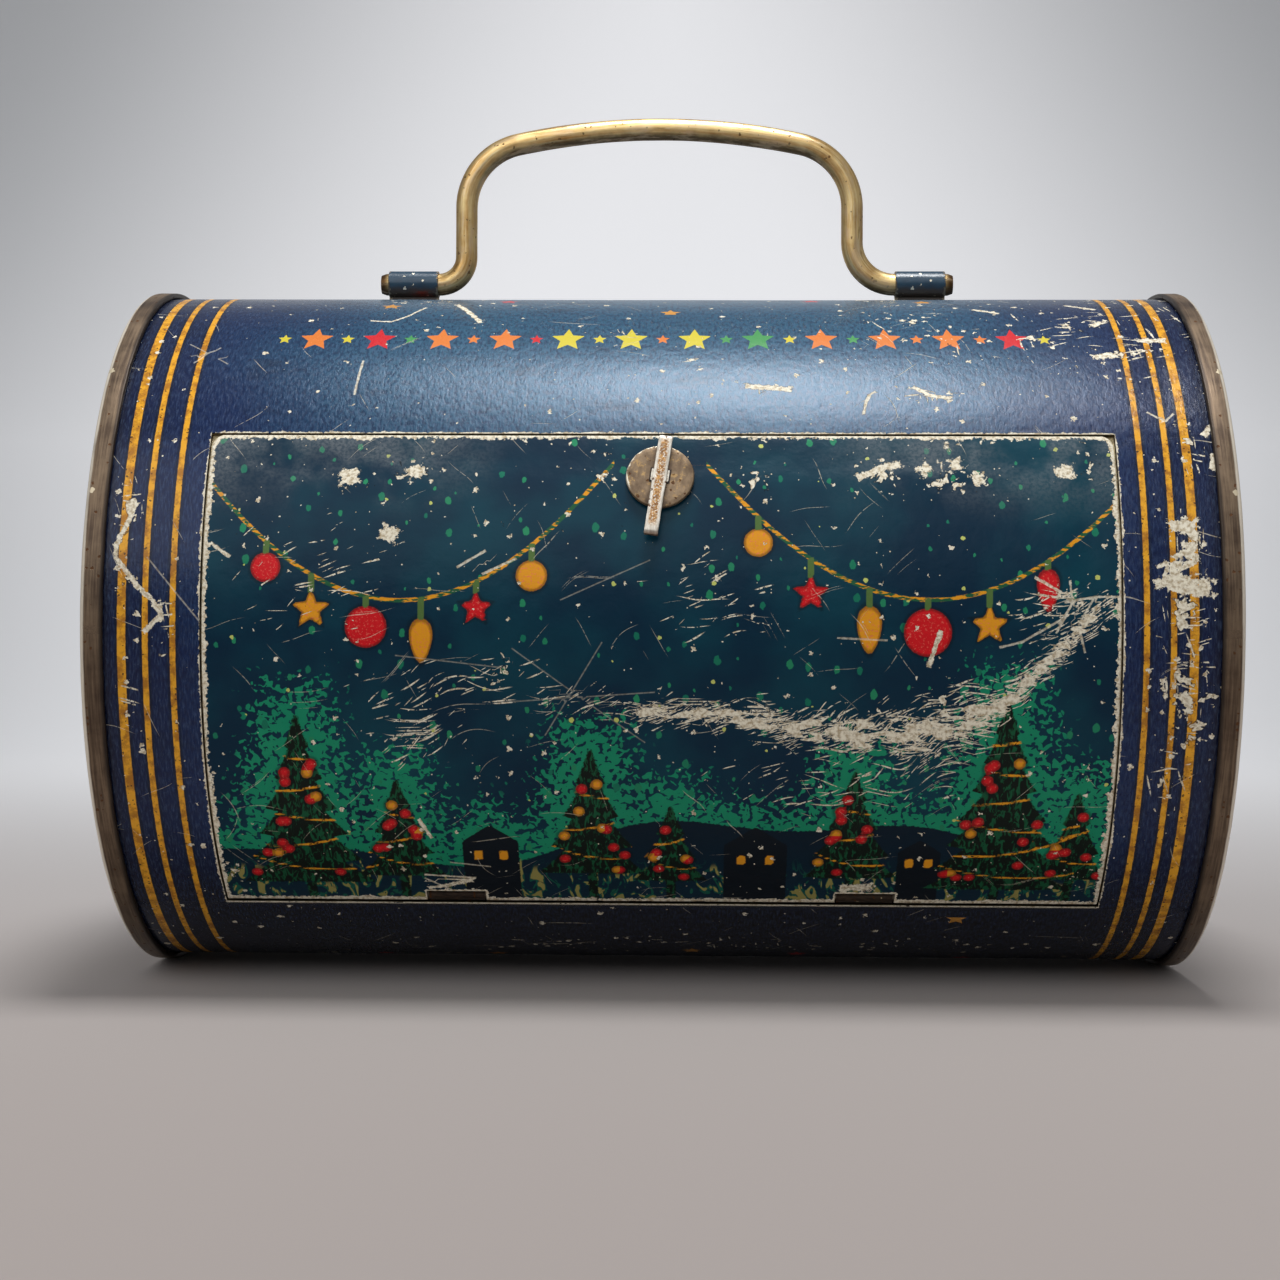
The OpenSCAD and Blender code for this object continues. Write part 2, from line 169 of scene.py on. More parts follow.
# Closed solid from rings of points, each joined to the next, with a point in the middle of both end rings
def ringedSolid(rings, marks=None):
    nu, nv = rings.shape[:2]
    ids = np.arange(nu * nv).reshape(nu, nv)
    beside = np.roll(ids, -1, 1)
    quads = np.stack([ids[:-1], ids[1:], beside[1:], beside[:-1]], -1).reshape(-1, 4)
    fans = np.concatenate([np.stack([ids[0], beside[0], np.full(nv, nu * nv)], -1),
                           np.stack([beside[-1], ids[-1], np.full(nv, nu * nv + 1)], -1)])
    points = np.concatenate([rings.reshape(-1, 3), rings[:1].mean(1), rings[-1:].mean(1)])
    values = {}
    for name, value in (marks or {}).items():
        flat = value.reshape((nu * nv,) + value.shape[2:])
        values[name] = np.concatenate([flat, value[:1, 0], value[-1:, 0]])
    return points, quads, fans, values


# Volume inside closed faces, from the tetrahedra between the origin and each triangle
def volumeInside(points, faces):
    total = 0.0
    for a, b in ((1, 2), (2, 3))[: faces.shape[1] - 2]:
        p, q, r = points[faces[:, 0]], points[faces[:, a]], points[faces[:, b]]
        total += (p * np.cross(q, r)).sum() / 6
    return total


# Puts solids into one object that rides on a body, stands for CAD nodes and takes their finish
def addPiece(name, solids, materials, body, nodes=(), sharp=38):
    points, quads, fans, marks, first = [], [], [], {}, 0
    for p, q, f, values in solids:
        f = np.zeros((0, 3), int) if f is None else f
        middle = p - p.mean(0)
        if volumeInside(middle, q) + volumeInside(middle, f) < 0:
            q, f = q[:, ::-1], f[:, ::-1]
        points.append(p)
        quads.append(q + first)
        fans.append(f + first)
        for key, value in values.items():
            marks.setdefault(key, []).append((first, value))
        first += len(p)
    points, quads, fans = np.concatenate(points), np.concatenate(quads), np.concatenate(fans)
    used = np.unique(np.concatenate([quads.ravel(), fans.ravel()]))
    renumbered = np.zeros(first, int)
    renumbered[used] = np.arange(len(used))
    corners = renumbered[np.concatenate([quads.ravel(), fans.ravel()])]
    starts = np.concatenate([np.arange(len(quads)) * 4, len(quads) * 4 + np.arange(len(fans)) * 3])
    mesh = bpy.data.meshes.new(name)
    mesh.vertices.add(len(used))
    mesh.vertices.foreach_set("co", (points[used] * 0.001).astype(np.float32).ravel())
    mesh.loops.add(len(corners))
    mesh.loops.foreach_set("vertex_index", corners.astype(np.int32))
    mesh.polygons.add(len(starts))
    mesh.polygons.foreach_set("loop_start", starts.astype(np.int32))
    mesh.update(calc_edges=True)
    mesh.validate()
    for key, parts in marks.items():
        vector = parts[0][1].ndim == 2
        data = np.zeros((first, 3) if vector else first, np.float32)
        for start, value in parts:
            data[start:start + len(value)] = value
        layer = mesh.attributes.new(key, "FLOAT_VECTOR" if vector else "FLOAT", "POINT")
        layer.data.foreach_set("vector" if vector else "value", data[used].ravel())
    mesh.shade_smooth()
    mesh.set_sharp_from_angle(angle=math.radians(sharp))
    for material in materials:
        mesh.materials.append(material)
    piece = bpy.data.objects.new(name, mesh)
    scene.collection.objects.link(piece)
    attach(piece, body)
    if nodes:
        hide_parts(*nodes)
    print("piece", name, len(starts), "faces")
    return piece


# Colours are written as paint cards give them, 0 to 255; this is the linear colour that shaders use
def paint(*card):
    c = np.array(card) / 255
    linear = np.where(c <= 0.04045, c / 12.92, ((c + 0.055) / 1.055) ** 2.4)
    return tuple(float(v) for v in linear) + (1.0,)


# The shader tree that new nodes go into
drawing = {"tree": None}


# Number or vector inside a shader; arithmetic and comparisons on it add Math nodes to the tree
class shaderValue:
    def __init__(self, socket):
        self.socket = socket

    def __add__(self, other):
        return calc("ADD", self, other)

    def __sub__(self, other):
        return calc("SUBTRACT", self, other)

    def __rsub__(self, other):
        return calc("SUBTRACT", other, self)

    def __mul__(self, other):
        return calc("MULTIPLY", self, other)

    def __truediv__(self, other):
        return calc("DIVIDE", self, other)

    def __rtruediv__(self, other):
        return calc("DIVIDE", other, self)

    def __abs__(self):
        return calc("ABSOLUTE", self)

    def __lt__(self, other):
        return calc("LESS_THAN", self, other)

    def __gt__(self, other):
        return calc("GREATER_THAN", self, other)

    __radd__, __rmul__ = __add__, __mul__


def plug(value, socket):
    if isinstance(value, shaderValue):
        drawing["tree"].links.new(value.socket, socket)
    else:
        socket.default_value = paint(*value) if socket.type == "RGBA" and len(value) == 3 else value


def put(kind, sockets=None, **settings):
    made = drawing["tree"].nodes.new("ShaderNode" + kind)
    for name, value in settings.items():
        setattr(made, name, value)
    for name, value in (sockets or {}).items():
        plug(value, made.inputs[name])
    return made


# One output of a new node
def result(kind, sockets=None, output=0, **settings):
    return shaderValue(put(kind, sockets, **settings).outputs[output])


def calc(operation, *values):
    return result("Math", dict(enumerate(values)), operation=operation)


def least(a, b):
    return calc("MINIMUM", a, b)


def most(*values):
    return functools.reduce(lambda a, b: calc("MAXIMUM", a, b), values)


# 0 below low and 1 above high, or the other way round where low is the larger
def between(value, low, high):
    return result("MapRange", {"Value": value, "From Min": low, "From Max": high}, interpolation_type="SMOOTHSTEP")


def mixColour(factor, under, over):
    return result("Mix", {0: factor, 6: under, 7: over}, 2, data_type="RGBA")


def mixValue(factor, under, over):
    return result("Mix", {0: factor, 2: under, 3: over}, data_type="FLOAT")


def moved(place, scale=(1, 1, 1), offset=(0, 0, 0), turn=0.0):
    return result("Mapping", {"Vector": place, "Scale": scale, "Location": offset,
                              "Rotation": (0, 0, math.radians(turn))})


def noise(place, scale, detail=2.0, rough=0.5, distortion=0.0):
    return result("TexNoise", {"Vector": place, "Scale": scale, "Detail": detail, "Roughness": rough,
                               "Distortion": distortion})


def markOf(name, vector=False):
    return result("Attribute", output="Vector" if vector else "Fac", attribute_name=name)


def objectPlace():
    return result("TexCoord", output="Object")


def splitOf(vector):
    return [shaderValue(part) for part in put("SeparateXYZ", {"Vector": vector}).outputs]


# Node group: a number makes a Float input, three numbers a Vector and four a Color
def shaderGroup(name, inputs, outputs, build):
    tree = bpy.data.node_groups.new(name, "ShaderNodeTree")
    for label, value in inputs.items():
        kind = {1: "Float", 3: "Vector", 4: "Color"}[np.size(value)]
        tree.interface.new_socket(label, in_out="INPUT", socket_type="NodeSocket" + kind).default_value = value
    for label, kind in outputs.items():
        tree.interface.new_socket(label, in_out="OUTPUT", socket_type="NodeSocket" + kind)
    drawing["tree"] = tree
    given = {socket.name: shaderValue(socket) for socket in tree.nodes.new("NodeGroupInput").outputs}
    ends = tree.nodes.new("NodeGroupOutput").inputs
    for label, value in build(given).items():
        plug(value, ends[label])
    return tree


def use(group, **sockets):
    made = put("Group", node_tree=group)
    for name, value in sockets.items():
        plug(value, made.inputs[name])
    return {socket.name: shaderValue(socket) for socket in made.outputs}


# Mask that a group gives at a place
def maskOf(group, place, **sockets):
    return use(group, Place=place, **sockets)["Mask"]


# Distance to the nearest point of a net of cells, and three random numbers for its cell
def cells(place, scale):
    net = put("TexVoronoi", {"Vector": place, "Scale": scale}, voronoi_dimensions="2D").outputs
    return shaderValue(net["Distance"]), splitOf(shaderValue(net["Color"]))


# Round or ragged dots: one in a share of the cells of a loose net, each of its own size
def buildSpecks(given):
    wander = result("TexNoise", {"Vector": given["Place"], "Scale": 1.7, "Detail": 2.0}, 1)
    shift = result("VectorMath", {0: wander, 1: (0.5, 0.5, 0.5)}, operation="SUBTRACT")
    shift = result("VectorMath", {0: shift, "Scale": given["Ragged"]}, operation="SCALE")
    place = result("VectorMath", {0: given["Place"], 1: shift}, operation="ADD")
    distance, chance = cells(place, 1.0 / given["Cell"])
    size = given["Size"] * (chance[1] * 0.75 + 0.3)
    return {"Mask": between(distance, size, size * 0.82) * (chance[0] < given["Share"]), "Tone": chance[2]}


specks = shaderGroup("specks", {"Place": (0, 0, 0), "Cell": 3.0, "Size": 0.2, "Share": 0.3, "Ragged": 0.0},
                     {"Mask": "Float", "Tone": "Float"}, buildSpecks)


# Flaked paint: a rough noise cut off at a level that falls as the amount rises
def buildFlakes(given):
    scale = 1.0 / given["Size"]
    broad = noise(given["Place"], scale, 3.0, 0.62, 0.4)
    level = 0.80 - given["Amount"] * 0.36
    return {"Mask": between(broad, level, level + 0.022), "Rim": between(broad, level - 0.022, level - 0.008)}


flakes = shaderGroup("flakes", {"Place": (0, 0, 0), "Size": 4.0, "Amount": 0.3},
                     {"Mask": "Float", "Rim": "Float"}, buildFlakes)


# Scratches that run about one way: long thin dots of a net that is stretched, bent and then broken up
def buildScratches(given):
    bend = (noise(given["Place"], 0.055, 1.0) - 0.5) * given["Bend"]
    turned = result("VectorRotate", {"Vector": given["Place"], "Angle": given["Turn"]}, rotation_type="Z_AXIS")
    along, across, _ = splitOf(turned)
    place = result("CombineXYZ", {"X": along / given["Length"], "Y": (across + bend) / given["Width"]})
    distance, chance = cells(place, 1.0)
    size = chance[1] * 0.3 + 0.14
    broken = between(noise(given["Place"], 1.5, 2.0), 0.36, 0.46)
    return {"Mask": between(distance, size, size * 0.6) * (chance[0] < given["Share"]) * broken}


scratches = shaderGroup("scratches",
                        {"Place": (0, 0, 0), "Turn": 0.0, "Length": 9.0, "Width": 0.4, "Share": 0.1, "Bend": 6.0},
                        {"Mask": "Float"}, buildScratches)


# Sets of scratches together, each (turn, length, width, share)
def scratched(place, bend, sets):
    return most(*[maskOf(scratches, place, Turn=math.radians(turn), Length=length, Width=width, Share=share,
                         Bend=bend)
                  for turn, length, width, share in sets])


# Paint rubbed off along an edge: the distance from the edge, made uneven by two sizes of noise
def buildRubbed(given):
    coarse = noise(given["Place"], 0.22, 1.0) - 0.5
    fine = noise(given["Place"], 1.3, 3.0, 0.6) - 0.5
    edge = (coarse * 1.6 + fine * 2.2) * given["Ragged"] + given["Edge"]
    return {"Mask": between(edge, given["Reach"], given["Reach"] - 0.12)}


rubbed = shaderGroup("rubbed edge", {"Place": (0, 0, 0), "Edge": 1.0, "Reach": 0.6, "Ragged": 1.0},
                     {"Mask": "Float"}, buildRubbed)


# Fine grain of brushed or printed tin: noise stretched across the sheet, from 0 to 1
def buildGrain(given):
    place = result("VectorMath", {0: given["Place"], 1: given["Stretch"]}, operation="MULTIPLY")
    return {"Value": noise(place, 1.0, 3.0, 0.6)}


grain = shaderGroup("fine grain", {"Place": (0, 0, 0), "Stretch": (3.0, 0.7, 1.0)}, {"Value": "Float"}, buildGrain)


# Chips and scratches along given strokes: the mark holds the distance to a stroke's side, the way past
# its ends and half its width, and the wider a stroke is, the more ragged
def struck(place, kind):
    side, past, half = splitOf(markOf(kind, True))
    uneven = (noise(place, 0.8, 4.0, 0.8) - 0.5) * least(half * 4.6 - 0.4, 4.0)
    out = most(abs(side) - half, past)
    near = between(markOf(kind + "Gap"), 1.8, 1.4)
    return between(out + uneven, 0.08, -0.06) * near * between(half, 0.0, 0.3)


fifth = math.pi / 5


# Five-pointed star: in polar form its rim is
# tip * notch * sin(36) / (tip * sin(turn) + notch * sin(36 - turn))
def buildStar(given):
    u, v, tip = given["U"], given["V"], given["Size"]
    turn = abs(calc("FLOORED_MODULO", calc("ARCTAN2", u, v) + fifth, 2 * fifth) - fifth)
    notch = tip * 0.46
    rim = tip * notch * math.sin(fifth) / (tip * calc("SINE", turn) + notch * calc("SINE", fifth - turn))
    return {"Mask": between(calc("SQRT", u * u + v * v) - rim, 0.08, -0.06)}


starShape = shaderGroup("five-pointed star", {"U": 0.0, "V": 0.0, "Size": 2.0}, {"Mask": "Float"}, buildStar)


# Old bare metal: two colours mixed by streaks and blotches, with rust dots, and a roughness that follows
def buildOldMetal(given):
    streak = use(grain, Place=given["Place"], Stretch=given["Streak"])["Value"]
    blotch = noise(given["Place"], 0.16, 4.0, 0.6)
    mixed = streak * 0.65 + blotch * 0.5
    colour = mixColour(between(mixed, 0.36, 0.80), given["Dark"], given["Light"])
    dots = maskOf(specks, given["Place"], Cell=1.1, Size=0.3, Share=given["Rust"], Ragged=0.7)
    colour = mixColour(dots * 0.8, colour, (96, 58, 26))
    rough = blotch * 0.3 + dots * 0.25 + 0.2
    height = streak * 0.5 + dots * -0.6
    return {"Colour": colour, "Rough": rough, "Height": height}


oldMetal = shaderGroup("old metal",
                       {"Place": (0, 0, 0), "Streak": (3.0, 0.2, 1.0), "Dark": (0.02, 0.015, 0.01, 1),
                        "Light": (0.2, 0.15, 0.1, 1), "Rust": 0.2},
                       {"Colour": "Color", "Rough": "Float", "Height": "Float"}, buildOldMetal)


def oldTin(place, streak, dark, light, rust):
    return use(oldMetal, Place=place, Streak=streak, Dark=dark, Light=light, Rust=rust)


# Inner face of a sheet, from 0 to 1
def innerFace():
    return between(markOf("inside"), 0.3, 0.7)


# Empty material with its own shader; coat and specular are plain numbers on the shader
def freshMaterial(name, coat=0.0, coatRough=0.2, specular=0.5):
    made = bpy.data.materials.new(name)
    made.use_nodes = True
    drawing["tree"] = made.node_tree
    shader = made.node_tree.nodes["Principled BSDF"]
    shader.inputs["Coat Weight"].default_value = coat
    shader.inputs["Coat Roughness"].default_value = coatRough
    shader.inputs["Specular IOR Level"].default_value = specular
    return made, shader


def finish(shader, colour, rough, metal, height, depth):
    plug(colour, shader.inputs["Base Color"])
    plug(rough, shader.inputs["Roughness"])
    plug(metal, shader.inputs["Metallic"])
    bump = result("Bump", {"Strength": 1.0, "Distance": depth * 0.001, "Height": height})
    plug(bump, shader.inputs["Normal"])


cream = (242, 235, 214)
creamDark = (182, 164, 132)


# Bare patches where the paint has gone: cream ground coat with darker grain
def groundCoat(place):
    return mixColour(between(noise(place, 1.4, 3.0, 0.6), 0.40, 0.68), cream, creamDark)


# Inside of the tin: pale plate, a little golden, rubbed and spotted
def insideTin(place):
    return oldTin(place, (0.5, 2.0, 1.0), (96, 84, 62), (176, 162, 128), 0.16)


bodyPaint = {
    "topGreyReflection": (150, 158, 160), "mottle": (6, 22, 60), "smear": (8, 26, 50), "side": (10, 14, 48),
    "grain": (96, 122, 160), "dots": (10, 16, 40), "lineShade": (12, 20, 26), "lineSpots": (52, 36, 20),
    "sprinkleRed": (196, 40, 46), "sprinkleGold": (214, 150, 62), "flakeRim": (8, 10, 18), "deep": (6, 34, 78),
    "steel": (38, 88, 116), "low": (4, 3, 8), "nearRim": (8, 14, 40), "gold": (236, 170, 40),
    "goldDark": (176, 116, 30),
    # place along and width of each line
    "stripes": [(-92.9, 1.45), (-88.8, 1.0), (-84.0, 1.0), (83.3, 1.0), (87.9, 1.0), (91.4, 1.5)],
    # star colours: the random number each starts at
    "starColours": [(0.0, (212, 196, 56)), (0.28, (206, 34, 42)), (0.5, (222, 124, 52)), (0.74, (70, 150, 84))],
    # worn spots: place along, angle, half length along, half length round, amount
    "worn": [(-92.2, 18, 2.0, 6, 0.75), (-93.4, 9, 2.0, 8, 0.6), (-86, 1, 2.0, 6, 0.8), (-92, -12, 2.5, 10, 0.4),
             (90.9, 13.7, 4, 5, 0.75), (90, 2, 4.5, 6, 0.85), (90.5, -10, 5.5, 9, 0.95), (88, -24, 4, 8, 0.5),
             (92, 30, 3, 7, 0.5), (84.7, 51, 7, 4, 0.7), (78, 60, 9, 5, 0.65), (39.7, 79, 7, 3, 0.7),
             (17.6, 41.2, 6, 1.6, 0.75), (5, 48, 3, 2, 0.6), (-7, 56, 2.5, 2.5, 0.75), (44, 62, 8, 5, 0.5),
             (48.6, 39.7, 5, 2, 0.65), (68.9, 54, 6, 4, 0.5), (-47, 75, 6, 3, 0.45), (-20, 150, 26, 20, 0.42),
             (60, 210, 20, 16, 0.5), (-60, 262, 30, 10, 0.5), (30, 270, 40, 8, 0.5), (5, -66, 60, 5, 0.34)],
    "rowAngle": 54.5, "rowPitch": 11.6, "rowHalf": 72.0, "sprinklePitch": 27.0,
    # chips and scratches: place along and arc length at both ends, and width
    "strokes": [(-91.2, 21.8, -92.5, 17.8, 0.8), (-92.5, 17.8, -94.1, 14.6, 0.8), (-94.1, 14.6, -94.2, 12.0, 0.8),
                (-94.2, 12.0, -89.7, 6.3, 0.8), (-89.7, 6.3, -87.5, 4.5, 0.8), (-87.5, 4.5, -85.9, 2.0, 0.8),
                (-85.9, 2.0, -89.0, -1.1, 0.8), (44.7, 47.2, 48.0, 44.7, 0.8), (48.0, 44.7, 51.5, 44.3, 0.8),
                (77.6, 55.7, 82.2, 56.6, 1.6), (86.5, 61.6, 91.6, 61.6, 1.5), (94.7, 35.7, 96.7, 38.1, 1.1),
                (96.1, 32.1, 95.9, 28.5, 1.3), (87.5, 17.9, 92.3, 18.4, 2.0), (90.5, 15.4, 91.3, 11.9, 2.2),
                (84.5, 7.9, 94.0, 9.0, 1.6), (87.9, 11.9, 88.3, 8.5, 1.6), (89.2, 7.1, 94.0, 7.1, 2.4),
                (58.0, 77.2, 62.9, 74.3, 0.9), (75.9, 80.9, 81.2, 77.2, 0.9), (14.9, 47.3, 23.2, 46.5, 1.2),
                (85.5, 41.0, 88.4, 38.8, 0.4), (88.4, 38.8, 90.1, 40.7, 0.4), (-88.7, 12.0, -77.7, -1.1, 0.25),
                (-86.8, 59.9, -78.8, 53.4, 0.25), (-85.1, 53.7, -80.9, 58.7, 0.25), (-54.8, 70.1, -50.7, 69.5, 0.5),
                (-50.7, 69.5, -47.8, 73.1, 0.5), (-47.8, 73.1, -45.3, 78.8, 0.5), (-39.8, 81.7, -34.1, 69.2, 1.0),
                (-54.3, 54.5, -54.9, 45.0, 0.4), (35.7, 40.3, 36.6, 45.0, 0.5), (36.6, 45.0, 38.4, 46.1, 0.5)],
}


def makeBodyLacquer():
    b = bodyPaint
    made, shader = freshMaterial("body-lacquer", coat=0.03, coatRough=0.3, specular=0.31)
    place = markOf("skin", True)
    x, arc, _ = splitOf(place)
    rise = markOf("rise")
    grainValue = use(grain, Place=place, Stretch=(3.2, 0.55, 1.0))["Value"]
    cloud = noise(place, 0.03, 3.0, 0.55)
    fromMiddle = abs(x)
    # deep blue at the sides and half way up, and steel blue towards the top: a painted sheen where the overhead
    # lamp's reflection falls, mixed with random cloud
    toneAndSheen = (cloud - 0.5) * 0.9 + between(rise, 0.2, 0.72) * between(fromMiddle, 90.0, 38.0)
    colour = mixColour(between(toneAndSheen, 0.0, 1.1), b["deep"], b["steel"])
    # near black low down: painted shade under the body
    colour = mixColour(between(rise, -0.5, -0.83), colour, b["low"])
    # grey along the very top: a painted reflection of the pale backdrop
    colour = mixColour(between(rise, 0.9, 0.99) * 0.3, colour, b["topGreyReflection"])
    mottle = use(grain, Place=place, Stretch=(1.7, 0.8, 1.0))["Value"]
    colour = mixColour(between(mottle, 0.56, 0.38) * 0.6, colour, b["mottle"])
    smear = noise(moved(place, (0.06, 0.16, 1)), 1.0, 5.0, 0.65)
    colour = mixColour(between(smear, 0.54, 0.70) * 0.45, colour, b["smear"])
    colour = mixColour(between(fromMiddle, 78.0, 92.0) * 0.5, colour, b["side"])
    colour = mixColour(between(fromMiddle, 93.6, 96.4), colour, b["nearRim"])
    colour = mixColour(between(grainValue, 0.42, 0.75) * 0.22, colour, b["grain"])
    fine = maskOf(specks, place, Cell=0.62, Size=0.28, Share=0.30, Ragged=0.5)
    colour = mixColour(fine * 0.35, colour, b["dots"])
    # gold lines
    wobble = (noise(place, 0.9, 2.0) - 0.5) * 0.2
    fromStripe = functools.reduce(least, [abs(x - c) + wobble - width / 2 for c, width in b["stripes"]])
    lines = between(fromStripe, 0.07, -0.05)
    colour = mixColour(between(fromStripe, 0.7, 0.2) * 0.6, colour, b["lineShade"])
    gold = mixColour(between(noise(place, 0.35, 4.0, 0.7), 0.42, 0.62), b["gold"], b["goldDark"])
    darkSpots = maskOf(specks, place, Cell=0.9, Size=0.26, Share=0.28, Ragged=0.6)
    gold = mixColour(darkSpots * 0.85, gold, b["lineSpots"])
    colour = mixColour(lines, colour, gold)
    # row of small stars across the top, large and small in turn
    cell = x / (b["rowPitch"] / 2)
    number = calc("ROUND", cell)
    large = calc("PINGPONG", number, 1.0)
    u = (cell - number) * (b["rowPitch"] / 2)
    v = arc - math.radians(b["rowAngle"]) * tin["radius"]
    star = use(starShape, U=u, V=v * 0.75, Size=large * 1.9 + 1.3)["Mask"] * (fromMiddle < b["rowHalf"])
    hue = put("ValToRGB", {"Fac": result("TexWhiteNoise", {"W": number}, "Value", noise_dimensions="1D")})
    hue.color_ramp.interpolation = "CONSTANT"
    ramp = hue.color_ramp.elements
    for number, (at, tint) in enumerate(b["starColours"]):
        element = ramp[number] if number < 2 else ramp.new(at)
        element.position, element.color = at, paint(*tint)
    colour = mixColour(star, colour, shaderValue(hue.outputs["Color"]))
    # sprinkled stars elsewhere: one to a square of the pitch, off its middle
    pitch = b["sprinklePitch"]
    squares = [part / pitch for part in (x, arc)]
    numbers = [calc("ROUND", square) for square in squares]
    square = result("CombineXYZ", {"X": numbers[0], "Y": numbers[1]})
    chance = splitOf(result("TexWhiteNoise", {"Vector": square}, "Color", noise_dimensions="2D"))
    du, dv = ((square - number) * pitch + (part - 0.5) * (pitch * 0.6)
              for square, number, part in zip(squares, numbers, chance))
    small = use(starShape, U=du, V=dv, Size=2.1)["Mask"]
    inField = (fromMiddle < 76.0) * (markOf("edge") > 4.0) * (abs(v) > 12.0)
    starTint = mixColour(chance[2] > 0.45, b["sprinkleRed"], b["sprinkleGold"])
    colour = mixColour(small * inField, colour, starTint)
    # wear: flakes and specks where the wear mark is high, scratches, and rubbed edges at the doorway
    wear = markOf("wear")
    flaked = use(flakes, Place=place, Size=3.6, Amount=wear)
    crumbs = maskOf(specks, place, Cell=2.2, Size=0.26, Share=wear * 0.75, Ragged=1.7)
    dust = maskOf(specks, place, Cell=1.2, Size=0.15, Share=wear * 0.30 + 0.02, Ragged=0.6)
    colour = mixColour(flaked["Rim"] * 0.7, colour, b["flakeRim"])
    hair = scratched(place, 8.0, [(8, 13.0, 0.30, 0.005), (62, 9.0, 0.25, 0.004), (-38, 11.0, 0.25, 0.005)])
    scuff = scratched(place, 7.0, [(turn, 6.0, 0.5, wear * 0.40 - 0.07) for turn in (6, -14, 80)])
    edgeWear = maskOf(rubbed, place, Edge=markOf("edge"), Reach=0.28, Ragged=0.55)
    seamWear = maskOf(rubbed, place, Edge=96.6 - fromMiddle, Reach=-0.2, Ragged=0.8)
    bare = most(flaked["Mask"], crumbs, dust, scuff, struck(place, "chip"), struck(place, "line"), hair * 0.5,
                edgeWear, seamWear * 0.3)
    colour = mixColour(bare, colour, groundCoat(place))
    inside = innerFace()
    tinplate = insideTin(place)
    colour = mixColour(inside, colour, tinplate["Colour"])
    # handled smooth towards both ends, duller over the middle
    dull = between(x, -80.0, -20.0) * between(x, 98.0, 66.0)
    rough = mixValue(bare, mottle * 0.25 + grainValue * 0.08 + dull * 0.11 + 0.07, 0.62)
    shine = (1.0 - most(bare, lines, star)) * 0.10
    rough = mixValue(inside, rough, tinplate["Rough"])
    height = noise(place, 0.35, 3.0, 0.5) * 1.3 + mottle * 0.6 + grainValue * 0.22 - bare * 0.8
    finish(shader, colour, rough, mixValue(inside, shine, 0.9), height, 0.07)
    return made


doorPaint = {
    "glowPale": (30, 150, 108), "snow": (16, 112, 90), "snowPale": (40, 140, 96), "spark": (196, 204, 110),
    "hillFoot": (9, 44, 62), "reeds": (18, 96, 78), "cord": (34, 92, 60), "ornamentWorn": (236, 112, 96),
    "ornamentMiddle": (40, 14, 12), "ornamentShade": (4, 18, 22), "cap": (86, 116, 60),
    "paintedSheen": (116, 122, 126), "roll": (6, 22, 34), "flakeRim": (4, 12, 18), "night": (2, 40, 62),
    "teal": (6, 62, 78), "hill": (4, 28, 44), "glow": (10, 132, 100), "fir": (10, 22, 16),
    "needle": (20, 88, 56), "wall": (8, 20, 30), "gold": (234, 158, 34), "red": (214, 26, 34),
    "straw": (160, 152, 86),
    # chips and scratches: x and height at both ends, and width
    "strokes": [(34.1, 84.1, 38.5, 86.3, 1.3), (38.5, 86.3, 41.9, 87.1, 1.3), (49.4, 90.9, 50.1, 90.9, 1.6),
                (51.0, 88.0, 51.6, 85.8, 1.8), (45.3, 86.9, 46.5, 85.2, 2.2), (68.6, 85.5, 71.5, 85.8, 2.4),
                (55.0, 85.2, 55.4, 83.0, 2.0), (48.2, 57.1, 46.1, 50.8, 0.8), (-43.1, 86.4, -42.4, 84.2, 2.6),
                (-55.9, 84.2, -52.5, 84.5, 2.8), (-48.2, 74.1, -45.3, 73.1, 2.6), (-77.8, 72.0, -74.3, 69.5, 0.6),
                (-42.3, 8.4, -33.1, 7.5, 0.5), (-42.0, 4.4, -33.8, 6.7, 0.9), (32.2, 5.1, 38.2, 5.7, 1.8),
                (-42.4, 21.9, -40.3, 17.7, 0.6), (58.2, 54.3, 62.0, 55.2, 0.35), (62.0, 55.2, 68.7, 59.1, 0.35),
                (64.2, 66.3, 68.7, 63.7, 0.45), (70.2, 65.8, 70.6, 62.0, 0.4), (70.6, 62.0, 67.8, 56.7, 0.4),
                (69.2, 62.0, 74.4, 63.0, 0.4), (74.4, 63.0, 79.0, 63.0, 0.4), (74.4, 63.0, 71.6, 58.1, 0.35),
                (71.6, 58.1, 72.8, 53.4, 0.35), (30.5, 55.8, 39.1, 55.4, 0.3), (-25.3, 53.8, -2.4, 37.3, 0.2),
                (-27.4, 44.4, -0.7, 46.3, 0.2), (-19.7, 38.5, -9.8, 54.9, 0.2), (-34.9, 67.7, -30.0, 70.6, 0.4),
                (-30.5, 66.5, -24.6, 69.3, 0.4), (-42.4, 7.4, -37.4, 3.7, 0.35), (-37.4, 11.9, -30.2, 10.8, 0.3),
                (-45.4, 52.5, -26.5, 50.4, 0.2), (-17.0, 62.1, -1.6, 69.1, 0.2)],
}


